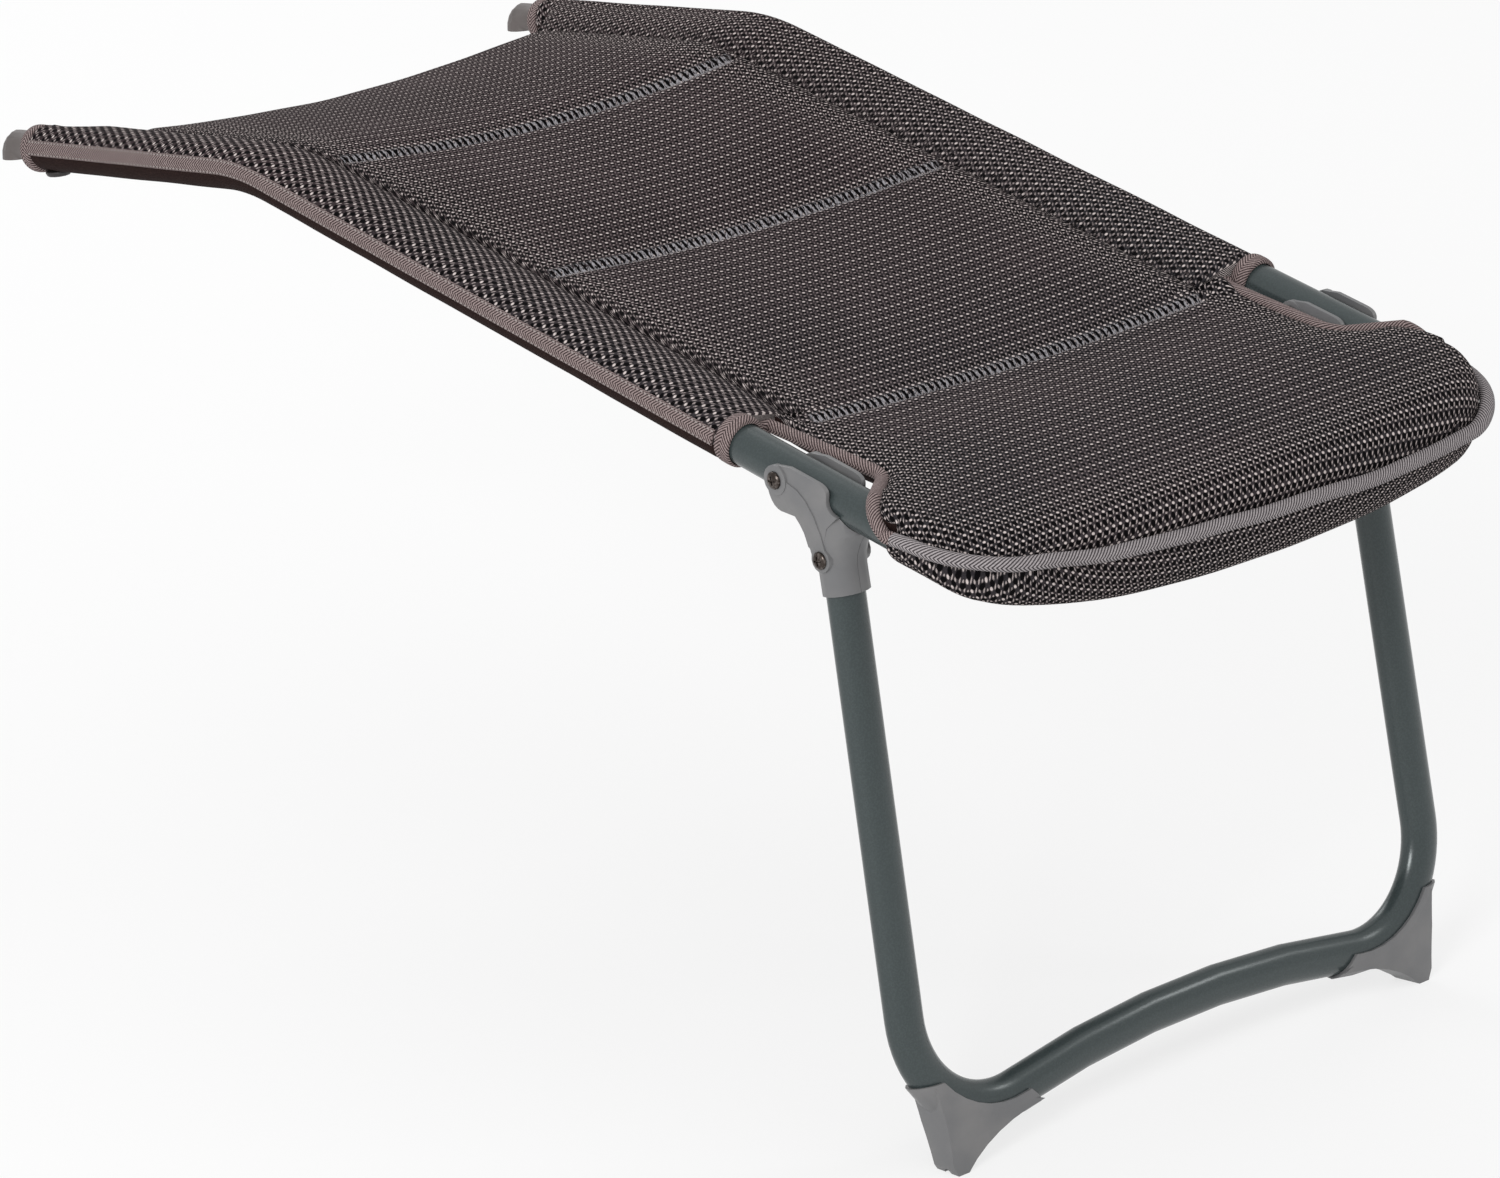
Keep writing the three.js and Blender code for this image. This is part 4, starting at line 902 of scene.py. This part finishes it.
def planRows(edge, widthAt, shares, rows, power, stations):
    # plan places of every point: rows follow the front edge, then run straight
    plan = []
    across = [share * cover["pocketHalf"] for share in shares]
    for step in range(rows):
        share = (step / rows) ** power
        plan.append([(x, mix(edge(x), cornerCentre, share)) for x in across])
    return plan + [[(share * widthAt(along), along) for share in shares] for along in stations]


def longer(within, reach, height):
    # by how much cloth over a rounded edge is longer than its plan, from the flat to here
    places = [mix(clamp(within, 0, reach), reach, share) for share in evenly(16)]
    extra = 0.0
    for near, far in zip(places, places[1:]):
        climb = height * (roundedRise(far, reach) - roundedRise(near, reach))
        extra += math.hypot(far - near, climb) - (far - near)
    return extra


def overFront(x, along, edge, reaches, height):
    # place on the unrolled cloth of a point at the rounded front or at its corners
    offset = Vector((max(abs(x) - cornerCentreX, 0), along - cornerCentre))
    within = along - edge
    outward = Vector((0, -1))
    if offset.x > 0:
        within = cover["corner"] + frontEdge(x) - edge - offset.length
        outward = offset.normalized()
    extra = longer(within, mix(reaches[0], reaches[1], outward.x), height)
    return [x + math.copysign(outward.x * extra, x), along + outward.y * extra]


def draped(places, heights, straight, atFront):
    # the weave keeps its spacing up and down the swells
    weave = [[atFront(x, along) if index < straight else [0.0, cornerCentre] for x, along in row]
             for index, row in enumerate(places)]
    middle = len(places[0]) // 2
    for row, levels, laid in zip(places[straight:], heights[straight:], weave[straight:]):
        for direction in (-1, 1):
            column = middle + direction
            while 0 <= column < len(row):
                before = column - direction
                run = math.hypot(row[column][0] - row[before][0], levels[column] - levels[before])
                laid[column][0] = laid[before][0] + direction * run
                column += direction
    for index in range(straight + 1, len(places)):
        for column in range(len(places[0])):
            run = places[index][column][1] - places[index - 1][column][1]
            climb = heights[index][column] - heights[index - 1][column]
            weave[index][column][1] = weave[index - 1][column][1] + math.hypot(run, climb)
    return weave


markRanges = {
    "open": (10, 55),  # from the edges inwards
    "openBehind": (8, 16),  # behind a seam
    "openShare": 0.8,
    "sewn": (10, 14),
    "pucker": (13, 3),
    "heldRim": (8, 34),
    "heldSeam": (10, 40),
}


def padMarks(x, along):
    within = min(along - frontEdge(x), sideEdge(x, along)[0] + 4)
    behind = min((along - place for place, _ in cover["seams"][:-1]), key=abs)
    across = 1 - smooth(abs(x), cover["stitchHalf"] - 1, cover["stitchHalf"] + 1)
    opened = 1 - smooth(within, *markRanges["open"])
    if behind > 0:
        share = markRanges["openShare"] * (1 - smooth(behind, *markRanges["openBehind"]))
        opened = max(opened, share * across)
    gathers = smooth(abs(x), *(cover["panelHalf"] - before for before in markRanges["pucker"]))
    fromRim = 1 - smooth(min(within, hem - along), *markRanges["heldRim"])
    return {
        "open": opened,
        "behind": behind,
        "sewn": (1 - smooth(abs(behind), *markRanges["sewn"])) * across,
        "pucker": gathers if along > cover["notchEnd"] else 0,
        "held": max(fromRim, 1 - smooth(abs(behind), *markRanges["heldSeam"])),
    }


def padLump(x, along, layer, thick):
    return lump(x, along, layer) * cover["lumps"] * clamp(thick / 10)


def makePad():
    shares = [2 * share - 1 for share in crowded(padRows["columns"], padRows["columnCrowding"])]
    stations = [cornerCentre, *padStations()]
    plan = planRows(frontEdge, padWidth, shares, padRows["pocket"], padRows["pocketPower"], stations)
    forms = (padHeights, padMarks, padLump, padFront)
    layQuilt("meshPad", "seat_pad", plan, forms, padRows["pocket"], (0, 1))


def layQuilt(name, node, plan, forms, straight, finishes):
    # an upper and a lower layer of cloth over one plan, joined round their edge and blown up;
    # forms are functions of the place, and the rows are straight from the one with that number
    heightsAt, marksAt, lumpAt, weaveAt = forms
    heights = [[heightsAt(x, along) for x, along in row] for row in plan]
    marked = [[marksAt(x, along) for x, along in row] for row in plan]
    bm = newFabric()
    for layer, finish in enumerate(finishes):
        shell = [[onRail(x, along, pair[layer] + lumpAt(x, along, layer, pair[0] - pair[1]))
                  for (x, along), pair in zip(row, pairs)] for row, pairs in zip(plan, heights)]
        levels = [[pair[layer] for pair in row] for row in heights]
        layGrid(bm, shell, draped(plan, levels, straight, weaveAt), finish, marked)
    joinRims(bm)
    quilt = finishPiece(bm, name, "frame", [mesh, lining], [node], 80)
    inflate(quilt)


def padFront(x, along):
    reaches = (cover["roll"], cover["pocketHalf"] - rail["half"])
    return overFront(x, along, frontEdge(x), reaches, cover["rise"])


inflation = {"pressure": 4, "frames": 20, "cap": 2.5}


def inflate(piece):
    # a short cloth run blows up the padding between the places that are held fast
    data = piece.data
    held = piece.vertex_groups.new(name="held")
    for index, item in enumerate(data.attributes["held"].data):
        held.add([index], item.value, "REPLACE")
    cloth = piece.modifiers.new("cloth", "CLOTH")
    cloth.settings.use_pressure = True
    cloth.settings.uniform_pressure_force = inflation["pressure"]
    cloth.settings.vertex_group_mass = held.name
    cloth.settings.effector_weights.gravity = 0
    cloth.point_cache.frame_start = 1
    cloth.point_cache.frame_end = inflation["frames"]
    scene = bpy.context.scene
    for step in range(1, inflation["frames"] + 1):
        scene.frame_set(step)
    swollen = piece.evaluated_get(bpy.context.evaluated_depsgraph_get())
    shifts = [after.co - before.co for after, before in zip(swollen.data.vertices, data.vertices)]
    piece.modifiers.remove(cloth)
    piece.vertex_groups.remove(held)
    scene.frame_set(1)
    cap = inflation["cap"] * mm
    most = 0.0
    for vert, shift in zip(data.vertices, shifts):
        if shift.length > 0:
            vert.co += shift.normalized() * (cap * (1 - math.exp(-shift.length / cap)))
            most = max(most, shift.length)
    data.update()
    print(f"{piece.name} swelled by up to {most / mm:.1f} mm")


def joinRims(bm):
    # the two layers of a pad, joined round their edge
    rims = [edge for edge in bm.edges if edge.is_boundary]
    made = bmesh.ops.bridge_loops(bm, edges=rims)["faces"]
    uv = bm.loops.layers.uv["weave"]
    for face in made:
        for loop in face.loops:
            across = [other[uv].uv.copy() for other in loop.vert.link_loops if other.face not in made]
            if across:
                loop[uv].uv = across[0]


makePad()
print("pad made")

bag = {
    "depth": 39.3,
    "sideDepths": (16, 30),
    "squareness": 3.2,
    "bulge": 7,
    "roll": 16,
    "sideRoll": 26,
    "mouth": 36,
    "end": 82,
    "hem": 3,
    "clothGap": 0.6,
    "thinnest": 0.5,
    "heldWithin": (10, 40),
    "rows": 22,
    "rowPower": 1.9,
    "columns": 64,
    "columnCrowding": 0.75,
}


def outwards(x):
    return (abs(x) / cover["pocketHalf"]) ** bag["squareness"]


def bagDepth(x):
    return mix(bag["depth"], bag["sideDepths"][0 if x < 0 else 1], outwards(x))


def bagEdge(x):
    return frontEdge(x) - bag["bulge"] * (1 - outwards(x))


def bagWidth(along):
    return cover["notchHalf"] if along > bag["mouth"] else padWidth(along)


def bagHeights(x, along):
    top = lipHeight(x, along) - cover["bindingRadius"] - bag["clothGap"]
    across = abs(x)
    depth = bagDepth(x) + top
    front = roundedRise(along - bagEdge(x), bag["roll"])
    side = roundedRise(bagWidth(along) - across, bag["sideRoll"])
    tail = smooth(along, bag["mouth"], bag["end"])
    swollen = top - bag["thinnest"] - depth * front * side
    return top, min(mix(swollen, top - bag["hem"], tail), top - bag["thinnest"])


def bagLump(x, along, layer, thick):
    return lump(x, along, 7) * cover["lumps"] if layer else 0


def makeBag():
    shares = [2 * share - 1 for share in crowded(bag["columns"], bag["columnCrowding"])]
    stations = [mix(cornerCentre, bag["end"], share) for share in evenly(12)]
    plan = planRows(bagEdge, bagWidth, shares, bag["rows"], bag["rowPower"], stations)
    forms = (bagHeights, bagMarks, bagLump, bagFront)
    layQuilt("pocketRoll", "pocket_underside", plan, forms, bag["rows"], (1, 0))


def bagFront(x, along):
    return overFront(x, along, bagEdge(x), (bag["roll"], bag["sideRoll"]), bagDepth(x))


def bagMarks(x, along):
    within = min(along - bagEdge(x), bagWidth(along) - abs(x), bag["mouth"] - along)
    return {**marks, "held": 1 - smooth(within, *bag["heldWithin"])}


makeBag()
print("pocket roll made")


# Padded sleeves round the rails
def sleeveSection(along):
    # from the seam with the panel, over the rail, round and back underneath
    fade = clamp((along - hem) / sleeve["taper"])
    reach = mix(sleeve["reach"], sleeve["top"] + 0.5, fade)
    crest, around, under = sleeve["steps"]
    section = sleeveCrest(along, evenly(crest)[:-1])
    section += [roundRail(mix(*sleeve["meets"], share), along) for share in evenly(around)]
    leaving = section[-1]
    hollow = Vector((mix(reach, leaving.x, 0.5), mix(-9, leaving.y, 0.3)))
    below = Vector((reach, mix(cover["groove"] - 4, -2, fade)))
    for share in evenly(under)[1:]:
        section.append(leaving.lerp(hollow, share).lerp(hollow.lerp(below, share), share))
    return [*section, section[0].copy()]


def sleeveFinish(column):
    # mesh outside and above, lining from the side tape inwards
    crest, around, under = sleeve["steps"]
    angle = mix(*sleeve["meets"], (column + 0.5 - crest) / around)
    return 1 if angle > sleeve["darkFrom"] and column < crest + around + under else 0


def makeSleeve(name, flipped):
    stations = [sleeve["start"] + min(step, 2) for step in (0, 0.7, 2)]
    count = round((hem - sleeve["start"]) / sleeve["spacing"])
    stations += [mix(sleeve["start"] + 4, hem, share) for share in evenly(count)]
    stations += [mix(hem, sleeveEnd, share) for share in evenly(12)[1:]]
    points = []
    for along in stations:
        fromEnd = min(along - sleeve["start"], sleeveEnd - along) + 0.4
        shrink = 1 - sleeve["shrink"][0] * (1 - roundedRise(fromEnd, sleeve["shrink"][1]))
        row = []
        for place in sleeveSection(along):
            swell = 1 + sleeve["swell"] * lump(place.x * 2, along, 3 if flipped else 5)
            row.append(onRail(rail["half"] - place.x * shrink * swell, along, place.y * shrink * swell))
        points.append(row)
    stretched = [[(v * sleeve["stretch"], u) for u, v in row] for row in unrolled(points)]
    marked = []
    for along in stations:
        held = 1 - smooth(along, hem - 10, hem)
        gathers = [held * (1 - smooth(step, *sleeve["puckerColumns"])) for step in range(len(points[0]))]
        marked.append([{**marks, "open": sleeve["open"], "pucker": gather} for gather in gathers])
    bm = newFabric()
    layGrid(bm, points, stretched, sleeveFinish, marked)
    capRims(bm)
    if flipped:
        mirrorBmesh(bm)
    padded = finishPiece(bm, "padded_" + name, "frame", [mesh, lining], [name], 60)


for name, flipped in sidesOf("side_sleeve"):
    makeSleeve(name, flipped)
print("sleeves made")

tapeLook = {"start": 150, "end": 188, "seat": 0.2, "thick": 1.0}


def makeSideTape(name, flipped):
    # flat binding along the outside of the sleeve, with rounded edges
    count = round((sleeveEnd - sleeve["start"]) / 6)
    outline = [(share, tapeLook["thick"] * min(1, 3.2 * math.sqrt(share * (1 - share)) + 0.15))
               for share in evenly(14)]
    outline += [(1, 0), (0, 0), outline[0]]
    points = []
    for way in evenly(count):
        along = mix(sleeve["start"] + 0.5, sleeveEnd - 0.5, way)
        row = []
        for share, lift in outline:
            angle = math.radians(mix(tapeLook["start"], tapeLook["end"], share))
            radius = mix(sleeve["outer"], sleeve["low"], sleeveClosing(along)) + lift
            radius += tapeLook["seat"] + 0.35 * lump(share * 20, along, 9)
            row.append(onRail(rail["half"] - radius * math.cos(angle), along, radius * math.sin(angle)))
        points.append(row)
    bm = newFabric()
    layGrid(bm, points, unrolledTape(points, 15))
    capRims(bm)
    bind(bm, "sewn_" + name, name, sewnTape, flipped)


def unrolledTape(points, facing):
    # the first points of each row face out: their middle is the tape's middle
    weave = unrolled(points)
    for row, places in zip(weave, points):
        middle = row[facing // 2][1]
        for index, (u, v) in enumerate(row):
            row[index] = (u, v - middle)
    return weave


for name, flipped in sidesOf("side_tape"):
    makeSideTape(name, flipped)

# radii above and below the rail
ring = {
    "frontWidth": 11.5,
    "rearWidth": 8,
    "front": (16.2, 14.8),
    "rear": (14.4, 16.4),
    "inner": 13.1,
    "sides": 44,
}


def makeRing(name, flipped, start, width, radii):
    # binding folded over a sleeve's end
    profile = [(0.5 - 0.5 * math.cos(math.pi * share), math.sin(math.pi * share) ** 0.35)
               for share in evenly(12)]
    points = []
    for turned in evenly(ring["sides"]):
        angle = 2 * math.pi * turned
        outer = mix(radii[1], radii[0], (math.sin(angle) + 1) / 2)
        row = []
        for share, lift in profile + [(1, -1), (0, -1), profile[0]]:
            radius = mix(ring["inner"] + 0.2, outer, lift) if lift >= 0 else ring["inner"]
            place = start + width * share
            row.append(onRail(rail["half"] + radius * math.cos(angle), place, radius * math.sin(angle)))
        points.append(row)
    bm = newFabric()
    layGrid(bm, points, unrolledTape(points, 13))
    bind(bm, "bound_" + name, name, tape, flipped)


frontRingStart = sleeve["start"] - ring["frontWidth"] - clearance
for name, flipped in sidesOf("sleeve_front_ring"):
    makeRing(name, flipped, frontRingStart, ring["frontWidth"], ring["front"])
for name, flipped in sidesOf("sleeve_rear_ring"):
    makeRing(name, flipped, sleeveEnd + clearance, ring["rearWidth"], ring["rear"])


def makePiping(path, halfSizes):
    # folded tape along a path of (point, outward, upward)
    points = []
    for place, outward, upward in path:
        width, height = halfSizes(outward)
        row = []
        for turned in evenly(20):
            angle = 2 * math.pi * turned
            across = outward * (width * math.cos(angle))
            row.append(place + across + upward * (height * math.sin(angle)))
        points.append(row)
    bm = newFabric()
    layGrid(bm, points, unrolled(points))
    capRims(bm)
    return bm


def notchPath(side):
    # from the sleeve's ring beside the notch, then up over the rail and down to the front lip
    places = [onRail(spot[0], spot[1], spot[2]) for spot in notchTape["joint"]]
    line = list(reversed(sidePlaces))
    for index, place in enumerate(line):
        ahead = line[max(index - 1, 0)] - line[min(index + 1, len(line) - 1)]
        spot = place + Vector((ahead.y, -ahead.x)).normalized() * bindingOffset
        lifted = bindingHeight(spot.x, spot.y) + lipHeight(side * spot.x, spot.y)
        places.append(onRail(spot.x, max(spot.y, cornerCentre), lifted))
    return places


def framed(places):
    path = []
    for index, place in enumerate(places):
        ahead = places[min(index + 1, len(places) - 1)] - places[max(index - 1, 0)]
        outward = ahead.cross(offRail).normalized()
        path.append((place, outward, outward.cross(ahead).normalized()))
    return path


notchTape = {
    "halfWidth": 4.2,
    "halfHeight": 4,
    "joint": ((197, 175.8, 1.0), (193.5, 175.4, 1.6)),  # across, along and up, where it meets the ring
}

for name, flipped in sidesOf("notch_binding"):
    path = framed(notchPath(-1 if flipped else 1))
    bm = makePiping(path, lambda outward: (notchTape["halfWidth"], notchTape["halfHeight"]))
    bind(bm, "piped_" + name, name, tape, flipped)

lip = {
    "halfWidth": 5,
    "halfHeight": 4.2,
    "sideWidth": 4,
    "steps": 90,
    "bowShare": 0.62,  # of the steps, up to where the corner begins
    "waves": 1.4,
}


def lipPath():
    path = []
    bowAngle = math.asin(cornerMeetX / cover["bow"])
    for step in range(-lip["steps"], lip["steps"] + 1):
        travel = abs(step) / lip["steps"]
        side = -1 if step < 0 else 1
        if travel < lip["bowShare"]:
            turn = bowAngle * travel / lip["bowShare"]
            centre, radius = (0, bowCentre), cover["bow"]
        else:
            turn = mix(bowAngle, math.pi / 2, (travel - lip["bowShare"]) / (1 - lip["bowShare"]))
            centre, radius = (cornerCentreX, cornerCentre), cover["corner"]
        radius += clearance + mix(lip["sideWidth"], lip["halfWidth"], abs(math.cos(turn)))
        x = side * (centre[0] + radius * math.sin(turn))
        along = centre[1] - radius * math.cos(turn)
        outward = crosswise * (side * math.sin(turn)) - alongRail * math.cos(turn)
        level = lipHeight(x, along) + lip["waves"] * lump(x, along, 11)
        path.append((onRail(x, along, level), outward, offRail))
    return path


def lipSizes(outward):
    ahead = abs(outward.dot(alongRail))
    return mix(lip["sideWidth"], lip["halfWidth"], ahead), lip["halfHeight"]


bind(makePiping(lipPath(), lipSizes), "frontLip", "front_piping", lipTape)
print("bindings made")

# Rigid mouldings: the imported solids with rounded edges
def rounded(name, body, finish, width, limit=33):
    bm = bmesh.new()
    bm.from_mesh(frame["nodes"][name].data)
    bmesh.ops.scale(bm, vec=(1 / mm, 1 / mm, 1 / mm), verts=bm.verts)
    bmesh.ops.remove_doubles(bm, verts=bm.verts, dist=0.004)
    bmesh.ops.dissolve_degenerate(bm, edges=bm.edges, dist=0.01)
    bmesh.ops.dissolve_limit(bm, angle_limit=math.radians(1), verts=bm.verts, edges=bm.edges)
    edges = [edge for edge in bm.edges
             if len(edge.link_faces) == 2 and edge.calc_face_angle(0) > math.radians(limit)]
    bmesh.ops.bevel(bm, geom=edges, offset=width, offset_type="OFFSET", segments=2, profile=0.5,
                    affect="EDGES", clamp_overlap=True, material=-1)
    finishPiece(bm, "moulded_" + name, body, [finish], [name], 40)


for name in ("bracket_outer", "bracket_inner"):
    for side in ("_left", "_right"):
        rounded(name + side, "leg", plastic, 1.0)
for side in ("_left", "_right"):
    rounded("foot_cap" + side, "leg", plastic, 1.1)
    rounded("rear_clip" + side, "frame", brownish, 0.6)
    rounded("clip_screw" + side, "frame", dark, 0.5)
    for name in ("pivot_screw", "pivot_nut", "pivot_spacer", "leg_screw", "leg_nut"):
        rounded(name + side, "leg", steel, 0.2)
print("mouldings rounded")

# Raised thread in the seams across the pad
stitches = {
    "half": 162,
    "pitch": 2.6,
    "length": 2.7,
    "radius": 0.42,
    "flatness": 1.3,
    "place": -1.2,
    "lift": 0.3,
    "turn": 0.9,  # radians from the seam's own direction
}


def makeSeamThread(index):
    along = cover["seams"][index][0]
    bm = bmesh.new()
    count = round(2 * stitches["half"] / stitches["pitch"])
    for step in range(count):
        x = (step + 0.5 - count / 2) * stitches["pitch"]
        wander = noise.noise(Vector((step * 0.73, index * 5.1, 0)))
        spot = along + stitches["place"] + 0.9 * wander
        centre = onRail(x, spot, padHeights(x, spot)[0] + stitches["lift"])
        made = bmesh.ops.create_uvsphere(bm, u_segments=6, v_segments=4, radius=1)["verts"]
        radius = stitches["radius"]
        size = (stitches["length"] / 2, radius * stitches["flatness"], radius)
        bmesh.ops.scale(bm, vec=size, verts=made)
        turn = stitches["turn"] + 0.5 * wander
        lean = Matrix.Rotation(slope, 3, "X") @ Matrix.Rotation(turn, 3, "Z")
        bmesh.ops.rotate(bm, cent=(0, 0, 0), matrix=lean, verts=made)
        bmesh.ops.translate(bm, vec=centre, verts=made)
    finishPiece(bm, f"seamThread{index + 1}", "frame", [thread])


for index in range(3):
    makeSeamThread(index)
print("seams stitched")

# Camera, floor and light
camera = {
    "fromFrontBar": (-2685, -2515.7, 1344.6),
    "azimuth": -42.7,
    "elevation": 21.16,
    "lens": 161.614,
}


def makeCamera():
    turn = math.radians(camera["azimuth"])
    rise = math.radians(camera["elevation"])
    back = Vector((math.sin(turn) * math.cos(rise), -math.cos(turn) * math.cos(rise), math.sin(rise)))
    right = Vector((math.cos(turn), math.sin(turn), 0))
    data = bpy.data.cameras.new("camera")
    data.lens = camera["lens"]
    data.sensor_width = 36
    data.sensor_fit = "HORIZONTAL"
    data.clip_end = 50
    eye = linked("camera", data)
    place = Matrix((right, back.cross(right), back)).transposed().to_4x4()
    place.translation = (railStart + Vector(camera["fromFrontBar"])) * mm
    eye.matrix_world = place
    bpy.context.scene.camera = eye


studio = {
    "floorSize": 14,
    "floor": (0.82, 0.82, 0.82),
    "bleach": 0.72,  # how far the floor is lifted to white where the camera sees it
    "world": 0.75,
    "aim": (0, 0, 0.3),
}
lamps = [
    {"place": (-3.0, -1.5, 2.1), "size": 1.1, "power": 66},
    {"place": (2.4, -2.0, 2.2), "size": 0.6, "power": 10},
    {"place": (0.6, 2.6, 2.4), "size": 1.8, "power": 28},
]


def makeFloor():
    bm = bmesh.new()
    bmesh.ops.create_grid(bm, x_segments=1, y_segments=1, size=studio["floorSize"] / 2)
    data = bpy.data.meshes.new("floor")
    bm.to_mesh(data)
    bm.free()
    floor = linked("floor", data)
    made = Finish("floor", studio["floor"], 0.9)
    glow = made.node("ShaderNodeEmission", None, {"Color": (1, 1, 1, 1), "Strength": 1.0})
    rays = made.node("ShaderNodeLightPath", output="Is Camera Ray")
    glossy = made.node("ShaderNodeLightPath", output="Is Glossy Ray")
    seen = rays.maths("MAXIMUM", rays, glossy) * studio["bleach"]
    surface = Signal(made, made.shader.outputs[0])
    mixed = made.node("ShaderNodeMixShader", None, {0: seen, 1: surface, 2: glow})
    output = made.tree.nodes["Material Output"]
    made.tree.links.new(mixed.socket, output.inputs["Surface"])
    data.materials.append(made.material)


def makeWorld():
    world = bpy.data.worlds.new("studio")
    bpy.context.scene.world = world
    world.use_nodes = True
    tree = world.node_tree
    ground = tree.nodes["Background"]
    ground.inputs["Color"].default_value = (1, 1, 1, 1)
    ground.inputs["Strength"].default_value = studio["world"]
    white = tree.nodes.new("ShaderNodeBackground")
    white.inputs["Color"].default_value = (1, 1, 1, 1)
    paths = tree.nodes.new("ShaderNodeLightPath")
    mixed = tree.nodes.new("ShaderNodeMixShader")
    tree.links.new(paths.outputs["Is Camera Ray"], mixed.inputs[0])
    tree.links.new(ground.outputs[0], mixed.inputs[1])
    tree.links.new(white.outputs[0], mixed.inputs[2])
    tree.links.new(mixed.outputs[0], tree.nodes["World Output"].inputs[0])


def makeLamps():
    for index, lamp in enumerate(lamps):
        data = bpy.data.lights.new(f"lamp{index + 1}", "AREA")
        data.size = lamp["size"]
        data.energy = lamp["power"]
        light = linked(data.name, data)
        light.location = lamp["place"]
        aim = Vector(studio["aim"]) - light.location
        light.rotation_euler = aim.to_track_quat("-Z", "Y").to_euler()


makeCamera()
makeFloor()
makeWorld()
makeLamps()
bpy.context.scene.view_settings.view_transform = "Standard"
print("studio lit")
